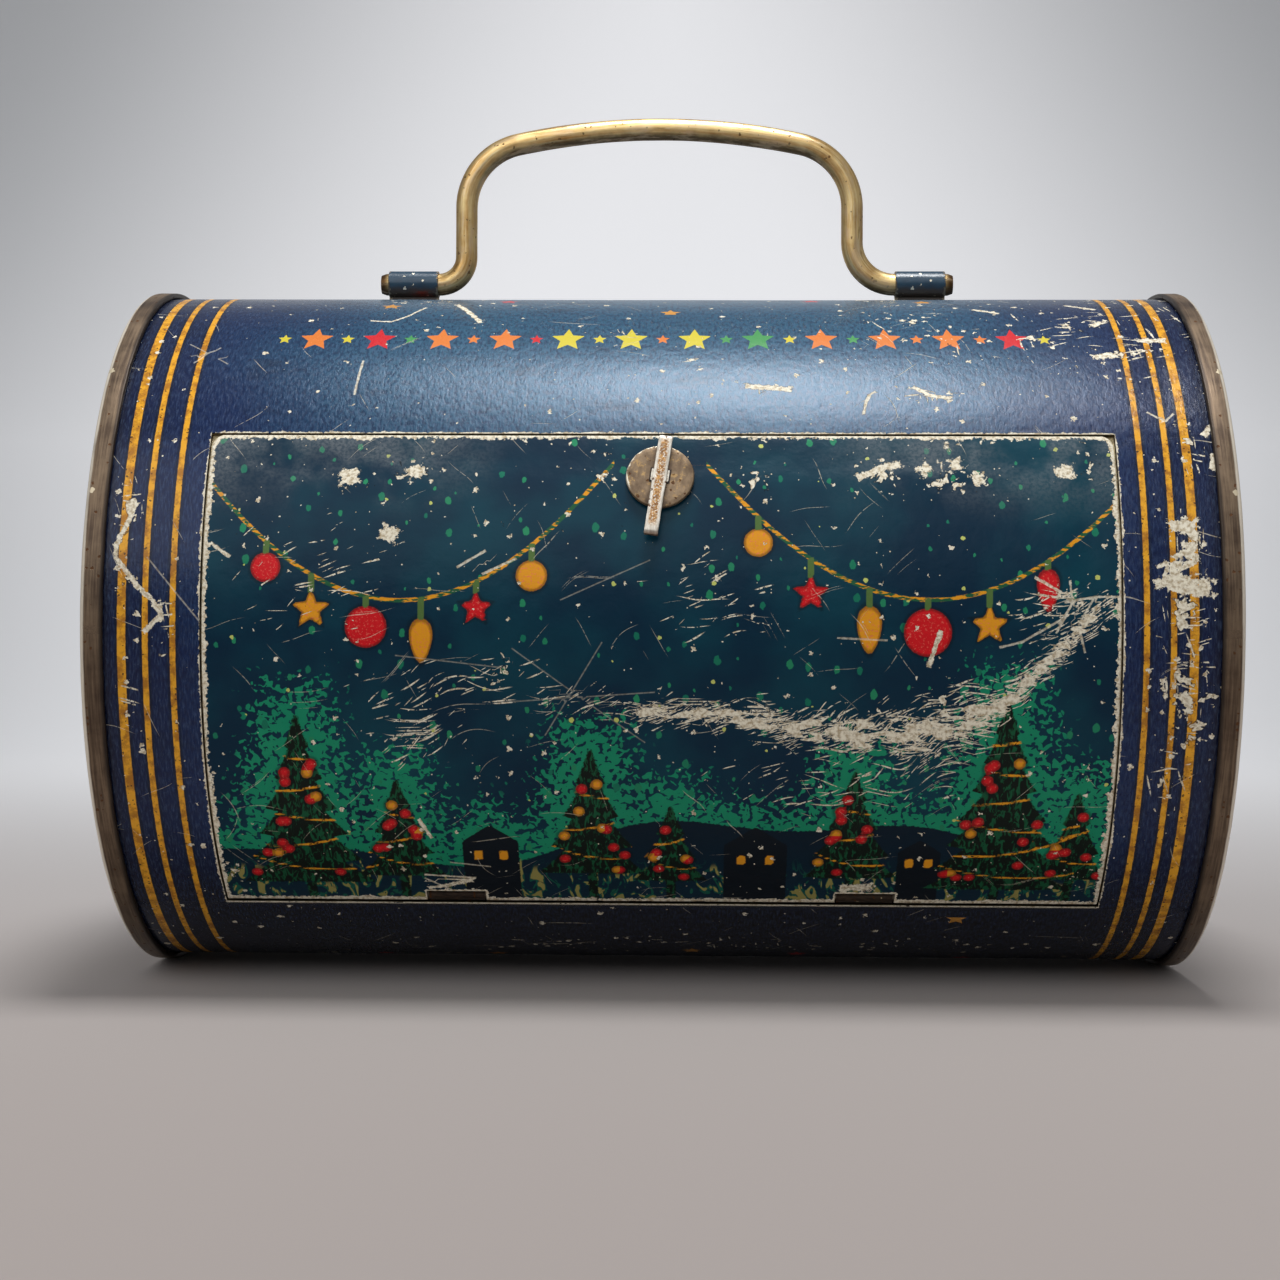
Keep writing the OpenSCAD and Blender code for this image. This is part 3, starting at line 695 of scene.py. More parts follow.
def makeDoorLacquer():
    d = doorPaint
    made, shader = freshMaterial("door-lacquer", specular=0.16)
    place = markOf("skin", True)
    x, up, _ = splitOf(place)
    fine = noise(place, 1.6, 3.0, 0.6)
    jitter = (fine - 0.5) * 1.1
    colour = mixColour(between(noise(place, 0.05, 3.0), 0.35, 0.7), d["night"], d["teal"])
    # green glow, solid beside the hills and trees and broken into dots further out
    fir, hill, cottage = (markOf(name) for name in ("fir", "hill", "cottage"))
    away = least(least(fir, hill), cottage)
    dapple = noise(place, 0.85, 1.5, 0.5, 0.6)
    level = away * 0.034 + 0.36
    glow = between(dapple, level, level + 0.03) * between(away, 10.5, 6.0)
    colour = mixColour(glow, colour, mixColour(noise(place, 0.12, 2.0), d["glow"], d["glowPale"]))
    # snow dots in the sky, some with a pale middle
    dots = use(specks, Place=moved(place, (1.2, 0.85, 1)), Cell=4.9, Size=0.16, Share=0.5, Ragged=0.6)
    colour = mixColour(dots["Mask"], colour, mixColour(dots["Tone"], d["snow"], d["snowPale"]))
    pale = maskOf(specks, place, Cell=8.3, Size=0.055, Share=0.4, Ragged=0.5)
    colour = mixColour(pale, colour, d["spark"])
    # hills, cottages and their windows, straw grass at the foot
    colour = mixColour(between(hill + jitter, 0.1, -0.15), colour,
                       mixColour(between(up, 0.0, 22.0), d["hillFoot"], d["hill"]))
    reeds = noise(moved(place, (0.36, 0.15, 1), turn=18), 1.0, 2.0, 0.5, 1.5)
    tops = noise(moved(place, (0.09, 0, 0)), 1.0, 2.0) * 30.0 - 5.0
    grass = between(reeds, 0.58, 0.60) * between(up - tops, 1.5, -0.5)
    colour = mixColour(between(abs(reeds - 0.56), 0.03, 0.012), colour,
                       mixColour(between(up, 14.0, 7.0), colour, d["reeds"]))
    colour = mixColour(grass, colour, d["straw"])
    colour = mixColour(between(jitter * 0.4 + cottage, 0.1, -0.1), colour, d["wall"])
    colour = mixColour(between(jitter * 0.3 + markOf("window"), 0.12, -0.12), colour, d["gold"])
    # firs: dark, with needles drawn down and outwards
    needles = noise(moved(place, (1.2, 0.5, 1), turn=-20), 1.0, 2.0, 0.6, 0.8)
    firColour = mixColour(between(needles, 0.50, 0.60), d["fir"], d["needle"])
    colour = mixColour(between(jitter * 0.9 + fir, 0.1, -0.2), colour, firColour)
    tinsel = between(jitter * 0.35 + markOf("garland"), 0.34, 0.18) * between(fir, 0.4, 0.0)
    colour = mixColour(tinsel * between(fine, 0.36, 0.44), colour, d["gold"])
    # swags: green cord with gold showing through, then the hung ornaments and their caps
    swag = abs(jitter * 0.25 + markOf("swag"))
    cord = mixColour(between(noise(moved(place, (0.5, 1.6, 1)), 1.0, 2.0), 0.47, 0.55), d["cord"], d["gold"])
    colour = mixColour(between(swag, 0.44, 0.28), colour, cord)
    ornament, hue = markOf("ornament"), markOf("hue")
    body = mixColour(between(hue, 0.4, 0.6), d["red"], d["gold"])
    worn = noise(place, 2.2, 3.0, 0.6)
    body = mixColour(between(worn, 0.56, 0.62) * 0.6, body, d["ornamentWorn"])
    body = mixColour(between(jitter * 0.3 + ornament, -0.6, -0.15), body, mixColour(0.55, body, d["ornamentMiddle"]))
    colour = mixColour(between(jitter * 0.4 + ornament, 0.8, 0.1) * 0.55, colour, d["ornamentShade"])
    colour = mixColour(between(jitter * 0.25 + ornament, 0.08, -0.08), colour, body)
    colour = mixColour(between(markOf("cap"), 0.08, -0.08), colour, d["cap"])
    # painted grey sheen in the upper corners, standing in for reflected light
    paintedSheen = between(up, 74.0, 92.0) * between(abs(x), 22.0, 50.0) * (between(fine, 0.36, 0.62) * 0.6 + 0.4)
    paintedSheen = paintedSheen * between(noise(place, 0.07, 3.0, 0.6), 0.40, 0.62)
    colour = mixColour(paintedSheen * 0.6, colour, d["paintedSheen"])
    colour = mixColour(markOf("rolled") > 0.3, colour, d["roll"])
    # wear
    wear, scuffMark, edge = markOf("wear"), markOf("scuff"), markOf("edge")
    flaked = use(flakes, Place=place, Size=2.6, Amount=wear)
    merged = maskOf(flakes, moved(place, (0.45, 1.5, 1), turn=-8), Size=2.0, Amount=scuffMark * 1.2 - 0.2)
    colour = mixColour(flaked["Rim"] * 0.7, colour, d["flakeRim"])
    crumbs = maskOf(specks, place, Cell=2.0, Size=0.24, Share=wear * 0.6, Ragged=1.6)
    dust = maskOf(specks, place, Cell=1.2, Size=0.13, Share=wear * 0.35 + 0.01, Ragged=0.5)
    band = [(-16, 7.0, 0.50, 1.1), (-24, 5.0, 0.38, 1.0), (6, 12.0, 0.36, 0.8), (-40, 4.5, 0.34, 0.6)]
    strokes = scratched(place, 9.0, [(turn, length, width, scuffMark * share - 0.02)
                                     for turn, length, width, share in band])
    hair = scratched(place, 10.0, [(-10, 13.0, 0.22, 0.008), (55, 9.0, 0.20, 0.007), (-42, 11.0, 0.22, 0.007)])
    foot = least(edge, up * 1.2 - 1.3 + markOf("rolled"))
    rub = maskOf(rubbed, place, Edge=foot, Reach=0.84, Ragged=1.0)
    bare = most(flaked["Mask"], merged, crumbs, dust, strokes, struck(place, "chip"), struck(place, "line"),
                hair * 0.45, rub)
    colour = mixColour(bare, colour, groundCoat(place))
    inside = innerFace()
    tinplate = insideTin(place)
    colour = mixColour(inside, colour, tinplate["Colour"])
    rough = mixValue(bare, paintedSheen * 0.25 + fine * 0.14 + 0.24, 0.6)
    rough = mixValue(inside, rough, tinplate["Rough"])
    height = noise(place, 0.30, 3.0, 0.5) * 1.5 + fine * 0.14 - bare * 0.9
    finish(shader, colour, rough, mixValue(inside, 0.06 - bare * 0.06, 0.9), height, 0.07)
    return made


# In each of these, metal is the streak, dark and light colours and share of rust of the old metal
endPaint = {
    "metal": ((2.6, 0.10, 1.0), (72, 56, 44), (132, 112, 90), 0.10), "panelDark": (112, 104, 96),
    "panelLight": (174, 164, 150), "stain": (96, 66, 44), "corner": (224, 214, 196), "foot": (30, 24, 22),
    "chip": (206, 192, 164),
}


# Ends: brown old tinplate with streaks round the seam and a bright line on its outer corner, rubbed metal with a
# painted highlight
def makeEndMetal():
    p = endPaint
    made, shader = freshMaterial("end-tinplate")
    place = markOf("skin", True)
    metal = oldTin(place, *p["metal"])
    out, reach = markOf("out"), markOf("reach")
    seen = moved(objectPlace(), (0, 1000, 1000))
    cloud = noise(seen, 0.05, 5.0, 0.6, 0.4)
    panel = mixColour(between(cloud, 0.36, 0.64), p["panelDark"], p["panelLight"])
    stain = between(noise(seen, 0.11, 5.0, 0.7), 0.56, 0.66)
    panel = mixColour(stain * 0.6, panel, p["stain"])
    flat = between(reach, 64.2, 62.0)
    colour = mixColour(flat * 0.75, metal["Colour"], panel)
    # pale line round the seam's outer corner: rubbed metal and a painted highlight
    jitter = (noise(moved(place, (1, 0.12, 1)), 1.0, 3.0) - 0.5) * 0.25
    corner = out - 4.2 + reach - 65.3
    line = between(abs(corner + jitter - 1.15), 0.42, 0.16) * between(reach, 64.6, 65.2)
    colour = mixColour(line, colour, p["corner"])
    foot = between(out, 1.9, 1.2) * between(reach, 64.8, 65.4)
    colour = mixColour(foot * 0.8, colour, p["foot"])
    chip = maskOf(specks, place, Cell=5.0, Size=0.12, Share=0.12, Ragged=1.2)
    colour = mixColour(chip, colour, p["chip"])
    rough = metal["Rough"] + 0.10 - flat * 0.12 - line * 0.12
    shine = flat * 0.25 + 0.6 - line * 0.4
    finish(shader, colour, rough, shine, mixValue(flat, metal["Height"], cloud), 0.06)
    return made


handlePaint = {
    "metal": ((0.10, 2.2, 1.0), (196, 148, 84), (255, 230, 168), 0.05), "blotch": (140, 104, 52),
    "bright": (250, 232, 184), "pits": (60, 44, 24), "cutEnd": (92, 66, 40), "shadeAndGrime": (66, 46, 26),
    "patina": (222, 194, 156),
}


def makeHandleBrass():
    p = handlePaint
    made, shader = freshMaterial("handle-brass")
    place = markOf("skin", True)
    metal = oldTin(place, *p["metal"])
    blotch = noise(moved(place, (0.06, 0.35, 1)), 1.0, 4.0, 0.65)
    colour = mixColour(between(blotch, 0.56, 0.72) * 0.8, metal["Colour"], p["blotch"])
    bright = noise(moved(place, (0.09, 0.9, 1), (7, 3, 0)), 1.0, 3.0, 0.6)
    colour = mixColour(between(bright, 0.58, 0.66) * 0.65, colour, p["bright"])
    pits = maskOf(specks, place, Cell=1.6, Size=0.16, Share=0.22, Ragged=0.8)
    colour = mixColour(pits * 0.7, colour, p["pits"])
    end = markOf("end")
    colour = mixColour(between(end, 2.6, 0.5), colour, p["cutEnd"])
    # darker, duller brown on the wire's underside: painted shade, with some grime
    shadeAndGrime = between(noise(place, 0.5, 3.0) * 0.4 + markOf("under"), 0.35, 1.05)
    colour = mixColour(shadeAndGrime * 0.85, colour, p["shadeAndGrime"])
    patina = noise(moved(place, (0.12, 0.5, 1), (3, 9, 0)), 1.0, 4.0, 0.7)
    colour = mixColour(between(patina, 0.48, 0.62) * 0.6, colour, p["patina"])
    rough = shadeAndGrime * 0.25 + metal["Rough"]
    finish(shader, colour, rough, 0.92 - shadeAndGrime * 0.5, metal["Height"], 0.05)
    return made


discPaint = {
    "metal": ((0.9, 0.6, 1.0), (96, 78, 60), (146, 124, 98), 0.3), "gilt": (190, 154, 96), "slit": (18, 12, 10),
    "leverShade": (40, 28, 22), "rim": (150, 128, 100),
}


def makeDiscMetal():
    p = discPaint
    made, shader = freshMaterial("latch-tinplate")
    place = markOf("skin", True)
    x, y, _ = splitOf(place)
    metal = oldTin(place, *p["metal"])
    gilt = between(noise(place, 0.9, 4.0, 0.7), 0.54, 0.66)
    base = mixColour(gilt * 0.6, metal["Colour"], p["gilt"])
    # two slits beside the lever, painted dark as the shade inside them, and painted shade along the lever
    slit = most(abs(abs(x) - 1.55) - 0.22, abs(y) - 1.35)
    colour = mixColour(between(slit, 0.15, -0.05), base, p["slit"])
    leverShade = between(abs(x), 2.1, 1.4)
    colour = mixColour(leverShade * 0.5, colour, p["leverShade"])
    reach = markOf("reach")
    ragged = maskOf(rubbed, place, Edge=6.0 - reach, Reach=0.35, Ragged=0.5)
    part = between(y - x, 1.0, 4.0)
    colour = mixColour(ragged * part, colour, cream)
    # lighter ring at the disc's edge: a painted highlight
    colour = mixColour(between(reach, 5.6, 5.95) * 0.35, colour, p["rim"])
    finish(shader, colour, metal["Rough"] + 0.16, 0.6, metal["Height"], 0.06)
    return made


leverPaint = {
    "metal": ((2.0, 0.5, 1.0), (168, 158, 142), (232, 228, 218), 0.12), "ochre": (206, 152, 78),
    "ochreDark": (142, 96, 44), "tip": (128, 84, 44),
}


def makeLeverMetal():
    p = leverPaint
    made, shader = freshMaterial("lever-steel")
    place = markOf("skin", True)
    along = splitOf(place)[1]
    edge = markOf("edge")
    metal = oldTin(place, *p["metal"])
    fine = noise(place, 2.6, 4.0, 0.7)
    worn = between(edge, 0.35, 0.75) * between(along, 1.4, 3.2) * between(along, 19.4, 17.6)
    rust = worn * between(fine, 0.38, 0.54)
    ochre = mixColour(between(noise(place, 1.3, 3.0, 0.6), 0.42, 0.62), p["ochre"], p["ochreDark"])
    colour = mixColour(rust, metal["Colour"], ochre)
    colour = mixColour(between(along, 1.1, 0.3) * 0.8, colour, p["tip"])
    rough = mixValue(rust, metal["Rough"] + 0.06, 0.7)
    height = rust * 0.5 + metal["Height"]
    finish(shader, colour, rough, mixValue(rust, 0.8, 0.25), height, 0.05)
    return made


loopPaint = {
    "metal": ((1.0, 1.0, 1.0), (74, 60, 46), (176, 162, 138), 0.2), "deep": (8, 34, 58), "pale": (22, 74, 98),
    "foot": (64, 50, 38),
}


def makeLoopLacquer():
    p = loopPaint
    made, shader = freshMaterial("loop-lacquer", coat=0.3, coatRough=0.25)
    place = markOf("skin", True)
    colour = mixColour(noise(place, 0.4, 3.0), p["deep"], p["pale"])
    # brown below the wire's middle: a painted reflection on the loop's lower half
    height = splitOf(objectPlace())[2] * 1000.0 + noise(place, 0.6, 2.0)
    colour = mixColour(between(height, 135.0, 133.6), colour, p["foot"])
    edge = markOf("edge")
    rub = maskOf(rubbed, place, Edge=edge, Reach=0.34, Ragged=0.8)
    flake = maskOf(flakes, place, Size=2.2, Amount=0.40)
    dots = maskOf(specks, place, Cell=1.8, Size=0.18, Share=0.14, Ragged=1.0)
    bare = most(rub, flake, dots)
    metal = oldTin(place, *p["metal"])
    colour = mixColour(bare, colour, mixColour(dots, metal["Colour"], cream))
    inside = innerFace()
    colour = mixColour(inside, colour, metal["Colour"])
    rough = mixValue(bare, 0.32, 0.5)
    height = noise(place, 0.8, 3.0) - bare * 0.8
    finish(shader, colour, rough, most(inside, bare) * 0.6, height, 0.05)
    return made


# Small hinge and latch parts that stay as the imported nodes: brown rubbed tin or grey wire
def makeHingeMetal(name, dark, light, streak):
    made, shader = freshMaterial(name)
    place = moved(objectPlace(), (1000, 1000, 1000))
    metal = oldTin(place, streak, dark, light, 0.28)
    chips = maskOf(flakes, place, Size=1.8, Amount=0.3)
    colour = mixColour(chips, metal["Colour"], (176, 158, 128))
    finish(shader, colour, metal["Rough"] + 0.14, 0.7, metal["Height"], 0.05)
    return made


# Winter night for the door, laid out in mm: x from its middle, height from its foot
nightShape = {
    # swags: from x, height to x, height, and sag
    "swags": [(-79.0, 84.0, -7.5, 88.0, 24.0), (8.0, 87.0, 79.0, 80.0, 21.0)],
    # ornaments hung from the swags: place along, drop, size, kind, gold
    "hung": [(-68, 4.5, 2.6, "ball", 0), (-60, 6.0, 3.2, "star", 1), (-50.5, 5.2, 3.6, "ball", 0),
             (-41, 7.2, 3.1, "drop", 1), (-31.5, 4.6, 2.8, "star", 0), (-22, 5.4, 2.7, "ball", 1),
             (17, 4.6, 2.5, "ball", 1), (26, 6.0, 3.0, "star", 0), (36, 7.0, 3.3, "drop", 1),
             (46, 5.6, 4.1, "ball", 0), (56.5, 6.0, 3.2, "star", 1), (66.5, 5.0, 3.0, "drop", 0)],
    # fir trees: middle, foot, height, half width
    "firs": [(-63, 6, 36, 12), (-46, 8, 22, 8), (-12, 9, 27, 9.5), (2, 7, 18, 6.5), (34, 8, 24, 8.5),
             (60, 5, 40, 13), (73, 8, 20, 6.5)],
    # cottages: middle, foot, half width, wall height
    "cottages": [(-30, 11, 5.0, 6.0), (17, 10, 5.6, 6.5), (46, 10, 3.8, 5.0)],
    # flaked and scratched spots: place, height, half width, half height, amount
    "chipped": [(-54.8, 84, 5, 3, 0.75), (-42.8, 85.7, 4, 4, 0.8), (-10.5, 86, 3, 4, 0.7), (16.5, 84, 5, 2.5, 0.85),
                (38.2, 85, 8, 4, 0.7), (50.4, 84, 9, 3, 0.8), (74.9, 88, 5, 7, 0.6), (-27.3, 49, 3, 3.5, 0.85),
                (73.7, 32.5, 3, 3, 0.7), (37, 4, 9, 4, 0.6), (-37, 3, 9, 3, 0.5), (-76, 6, 5, 8, 0.6),
                (76, 8, 5, 9, 0.5), (-39, 46, 4, 4, 0.45), (51, 43, 10, 5, 0.62), (34, 41, 14, 3.5, 0.5),
                (-15, 73, 4, 4, 0.4), (70, 62, 4, 4, 0.5)],
    "scraped": [(-34, 48, 15, 3.0, 0.28), (-12, 45, 10, 3.0, 0.26), (-42, 40, 7, 8, 0.25), (8, 62, 10, 6, 0.16),
                (70, 60, 8, 4, 0.4), (30, 30, 16, 5, 0.2), (-60, 66, 14, 9, 0.12)],
    # band of scratches: place, height, half width
    "band": [(-4, 43, 2.0), (12, 42, 2.2), (24, 40, 3.2), (38, 38.5, 4.2), (50, 40, 5.2), (58, 44, 4.0),
             (66, 51, 2.6), (75, 61, 2.2)],
}


def doorArt(x, v):
    n = nightShape
    far = np.full(x.shape, 30.0)
    # hills, below their line
    back = 17 + 5.0 * np.sin(x / 21 + 0.6) + 2.2 * np.sin(x / 8.3 + 2)
    hill = np.clip(v - back, -12, 30)
    # swags hang as parabolas, and the cord's thickness is kept where it runs steeply
    swag, ornament, hue, cap = far.copy(), far.copy(), np.zeros(x.shape), far.copy()
    for x0, v0, x1, v1, sag in n["swags"]:
        t = np.clip((x - x0) / (x1 - x0), 0, 1)
        line = v0 + (v1 - v0) * t - 4 * sag * t * (1 - t)
        slope = ((v1 - v0) - 4 * sag * (1 - 2 * t)) / (x1 - x0)
        inSpan = np.clip((v - line) / np.sqrt(1 + slope ** 2), -30, 30)
        near = np.where((t > 0) & (t < 1), inSpan, np.copysign(30, v - line))
        swag = np.where((x < 0) == (x0 < 0), near, swag)
        for place, drop, size, kind, gold in n["hung"]:
            s = (place - x0) / (x1 - x0)
            if not 0 < s < 1:
                continue
            height = v0 + (v1 - v0) * s - 4 * sag * s * (1 - s) - drop
            dx, dv = x - place, v - height
            if kind == "star":
                turn = np.abs((np.arctan2(dx, dv) + fifth) % (2 * fifth) - fifth)
                tip, notch = size * 1.15, size * 0.5
                rim = tip * notch * math.sin(fifth) / (tip * np.sin(turn) + notch * np.sin(fifth - turn))
                shape = (np.hypot(dx, dv) - rim) * 0.8
            elif kind == "drop":
                narrow = 0.62 + 0.16 * np.clip(dv / size, -1.6, 1)
                shape = (np.hypot(dx / narrow, dv / 1.25) - size) * 0.75
            else:
                shape = np.hypot(dx, dv) - size
            hue = np.where(shape < np.minimum(ornament, 1.5), float(gold), hue)
            ornament = np.minimum(ornament, shape)
            top = size * (1.25 if kind == "drop" else 1.0)
            capHeight = np.abs(dv - (top + drop) / 2) - (drop - top) / 2 - 0.3
            cap = np.minimum(cap, np.maximum(np.abs(dx) - 0.55, capHeight))
    # fir trees: tiers whose edges step in, with hanging garlands and with baubles at their tips
    fir, garland = far.copy(), far.copy()
    chance = np.random.default_rng(5)
    for middle, foot, height, wide in n["firs"]:
        t = (v - foot) / height
        tiers = max(3, round(height / 6))
        step = (1 - t) * tiers
        width = wide * (1 - t) * (0.60 + 0.40 * (step % 1)) + 0.4
        shape = np.maximum.reduce([(np.abs(x - middle) - width) * 0.85, v - foot - height, foot - v])
        trunk = np.maximum(np.abs(x - middle) - 0.9, v - foot)
        fir = np.minimum(fir, np.minimum(shape, trunk))
        across = (x - middle) / wide
        for tier in range(1, tiers):
            hang = foot + height * (tier - 0.35) / tiers + 2.6 * across ** 2 + (-1) ** tier * 1.8 * across
            garland = np.where(np.abs(x - middle) < wide + 1, np.minimum(garland, np.abs(v - hang)), garland)
        for _ in range(int(height * 0.42)):
            rise = chance.uniform(0.04, 0.8)
            side = chance.choice([-1, 1]) * chance.uniform(0.35, 1.0)
            bx, bv = middle + side * wide * (1 - rise) * 0.85, foot + rise * height
            ball = np.hypot(x - bx, v - bv) - 1.05
            hue = np.where(ball < np.minimum(ornament, 1.0), float(chance.uniform() > 0.72), hue)
            ornament = np.minimum(ornament, ball)
    # cottages: a wall under a gable, with gold windows
    cottage, window = far.copy(), far.copy()
    for middle, foot, wide, wall in n["cottages"]:
        across = np.abs(x - middle)
        roof = v - (foot + wall + (wide - across) * 0.75)
        cottage = np.minimum(cottage, np.maximum.reduce([across - wide, roof, foot - 12 - v]))
        for offset in (-0.45, 0.45):
            pane = np.maximum(np.abs(x - middle - offset * wide) - 0.75, np.abs(v - foot - wall * 0.45) - 1.1)
            window = np.minimum(window, pane)
    # wear: where paint has flaked, and the long band of scratches across the middle
    wear = 0.10 + 0.05 * unevenness(np.stack([x, v, 0 * x], -1), 71, 60.0)
    wear = spotted(wear, x, v, n["chipped"])
    band = np.array(n["band"])
    middle = np.interp(x, band[:, 0], band[:, 1])
    reach = np.interp(x, band[:, 0], band[:, 2])
    ends = ease(x, -8, -2) * (1 - ease(x, 75, 79))
    scuff = ends * np.exp(-((v - middle) / reach) ** 2)
    scuff = spotted(scuff, x, v, n["scraped"])
    return {"hill": hill, "swag": swag, "ornament": ornament, "hue": hue, "cap": cap, "fir": fir, "garland": garland,
            "cottage": cottage, "window": window, "wear": wear, "scuff": scuff}


# Nearest of some straight strokes (x0, y0, x1, y1, width) at each place, as marks for the shader:
# wide ones are chips, narrow ones are lines
def strokeMarks(x, y, strokes):
    marks = {}
    for kind, wide in (("chip", True), ("line", False)):
        side, past, half, gap = (np.full(x.shape, v) for v in (50.0, 50.0, 0.1, 50.0))
        for x0, y0, x1, y1, width in strokes:
            if (width >= 0.45) != wide:
                continue
            length = math.hypot(x1 - x0, y1 - y0)
            ux, uy = (x1 - x0) / length, (y1 - y0) / length
            along = (x - x0) * ux + (y - y0) * uy
            across = (y - y0) * ux - (x - x0) * uy
            over = np.maximum(-along, along - length)
            away = np.hypot(across, np.maximum(over, 0)) - width / 2
            nearer = away < gap
            side, past = np.where(nearer, across, side), np.where(nearer, over, past)
            half, gap = np.where(nearer, width / 2, half), np.where(nearer, away, gap)
        marks.update({kind: np.stack([side, past, half], -1), kind + "Gap": gap})
    return marks


# Share of flaked paint over the body, from 0 to 1: a little everywhere, more at the right and along the rims
def bodyWear(x, angle, points):
    upperRight = ease(x, 0, 80) * ease(angle, 30, 50) * (1 - ease(angle, 100, 130))
    wear = 0.06 + 0.05 * unevenness(points, 81, 90.0) + 0.16 * upperRight
    for place, turn, across, around, amount in bodyPaint["worn"]:
        arc = np.radians((angle - turn + 180) % 360 - 180) * tin["radius"]
        wear = np.maximum(wear, amount * bell(x - place, arc, across, around))
    return wear


# The rolled body: a sheet with the doorway left open, worn into soft waves and a few shallow dents
bodyShape = {
    "columnStep": 1.5, "rowStep": 2.0, "wave": 0.09, "waveLength": 70.0,
    # place along, angle, half length along, half length round, depth
    "dents": [(88, 8, 9, 12, 0.35), (92, 44, 6, 9, 0.28), (-90, -18, 7, 16, 0.22), (20, 76, 30, 14, 0.16),
              (-45, 128, 26, 18, 0.6), (38, 196, 34, 22, 0.75), (70, 150, 12, 14, 0.5), (-70, 232, 20, 16, 0.5)],
    "seamAngle": 180.0, "seamGroove": 0.25,
    "ledgeWidth": 4.0, "ledgeOuter": 64.0,
}


# Depth of the waves and dents under the true cylinder: waves plus one bell shape for each dent,
# fading out at the rims and at the doorway
def bodyDepth(x, angle, points):
    depth = bodyShape["wave"] * (1 + unevenness(points, 4, bodyShape["waveLength"])) / 2
    for place, turn, across, around, deep in bodyShape["dents"]:
        arc = np.radians(angle - turn) * tin["radius"]
        depth = depth + deep * bell(x - place, arc, across, around)
    top, bottom = doorway["top"], doorway["bottom"]
    middle, half = (top + bottom) / 2, (top - bottom) / 2
    outside = roundedBox(x, np.radians(angle - middle) * tin["radius"], doorway["halfWidth"],
                         math.radians(half) * tin["radius"], 0.01)
    return depth * (1 - ease(np.abs(x), 86, 95)) * (0.15 + 0.85 * ease(outside, 0.5, 14))


def makeBody(lacquer):
    gapAngle = arcAngle(doorway["gap"])
    openHalf = doorway["halfWidth"] + doorway["gap"]
    low, high = doorway["bottom"] - gapAngle, doorway["top"] + gapAngle
    groove = arcAngle(bodyShape["seamGroove"] / 2)
    seam = bodyShape["seamAngle"]
    step = arcAngle(bodyShape["rowStep"])
    x = spaced([-99.3, -95.4, -openHalf - 1, -openHalf, openHalf, openHalf + 1, 95.4, 99.3], bodyShape["columnStep"])
    angle = spaced([low, high, high + 1, seam - 3 * groove, seam - groove, seam + groove, seam + 3 * groove,
                    low + 359, low + 360], step)[:-1]
    xs, angles = np.meshgrid(x, angle, indexing="ij")
    smooth = onTin(xs, angles, tin["radius"])
    depth = bodyDepth(xs, angles, smooth)
    depth = depth + 0.28 * (np.abs(angles - seam) < 2 * groove) * (np.abs(xs) < 94)
    outer = onTin(xs, angles, tin["radius"] - depth)
    inner = onTin(xs, angles, tin["radius"] - tin["sheet"] - depth)
    midX, midA = (x[:-1] + x[1:]) / 2, (angle + np.roll(angle, -1)) / 2
    midA[-1] = low - 1
    keep = ~((np.abs(midX)[:, None] < openHalf) & ((midA > low) & (midA < high))[None])
    middle, half = (low + high) / 2, math.radians((high - low) / 2) * tin["radius"]
    turned = (angles - middle + 180) % 360 - 180
    edge = roundedBox(xs, np.radians(turned) * tin["radius"], openHalf, half, 0.01)
    skin = skinAt(xs, np.radians(angles) * tin["radius"])
    marks = {"edge": edge, "skin": skin, "rise": np.sin(np.radians(angles)), "wear": bodyWear(xs, angles, smooth),
             **strokeMarks(xs, skin[..., 1], bodyPaint["strokes"])}
    wrapper = closedSheet(outer, inner, keep, wrapped=True, marks=marks)

    # Ledge: an L section carried up one side, across the top and down the other, mitred at the corners
    away = np.array([0.35, 0.35, 0.3, 0.1, -bodyShape["ledgeWidth"] + 0.1, -bodyShape["ledgeWidth"]])
    sheet, floor = tin["sheet"], bodyShape["ledgeOuter"]
    under = np.array([tin["radius"] - 0.3, floor - sheet + 0.2, floor - sheet + 0.05, floor - sheet, floor - sheet,
                      floor - sheet + 0.05])
    face = np.array([0.0, 0.0, -0.05, -0.15, -bodyShape["ledgeWidth"] + 0.1, -bodyShape["ledgeWidth"]])
    faceHigh = np.array([tin["radius"] - 0.3, floor + 0.15, floor + 0.04, floor, floor, floor - 0.05])
    foot = low + arcAngle(2.8)

    def carried(outset, radius):
        wide = (openHalf + outset)[None]
        head = (high + arcAngle(outset))[None]
        rise = np.linspace(0, 1, 50)[:, None]
        left = [-wide + 0 * rise, foot + (head - foot) * rise]
        over = [-wide + 2 * wide * rise, head + 0 * rise]
        right = [wide + 0 * rise, head + (foot - head) * rise]
        path = [np.concatenate([left[i], over[i][1:], right[i][1:]]) for i in (0, 1)]
        return onTin(path[0], path[1], radius[None]), path[0]
    outside, place = carried(away, under)
    inside, _ = carried(face, faceHigh)
    length = np.broadcast_to(np.arange(place.shape[0])[:, None] * 1.8, place.shape)
    ledgeSkin = skinAt(place, length)
    ledge = closedSheet(inside, outside, marks={"edge": np.full(place.shape, -2.0), "skin": ledgeSkin,
                                                "rise": np.zeros(place.shape)})
    ledge[3]["inside"] = np.ones(len(ledge[0]))
    return addPiece("body", [wrapper, ledge], [lacquer], "shell", ["body_shell"], sharp=30)


# Pressed end: one line from the middle of the panel out, up the wall, over the double seam and under it,
# given a thickness and turned round the body's axis
endShape = {
    "seamHeight": 4.0, "seamRadius": 66.2, "panel": 95.8, "stepRadius": 53.0, "stepHeight": 0.8,
    "beads": [(44.0, 0.35), (30.0, -0.3), (16.0, 0.25)], "wallRadius": 64.4, "hookRadius": 65.25, "turns": 288,
}


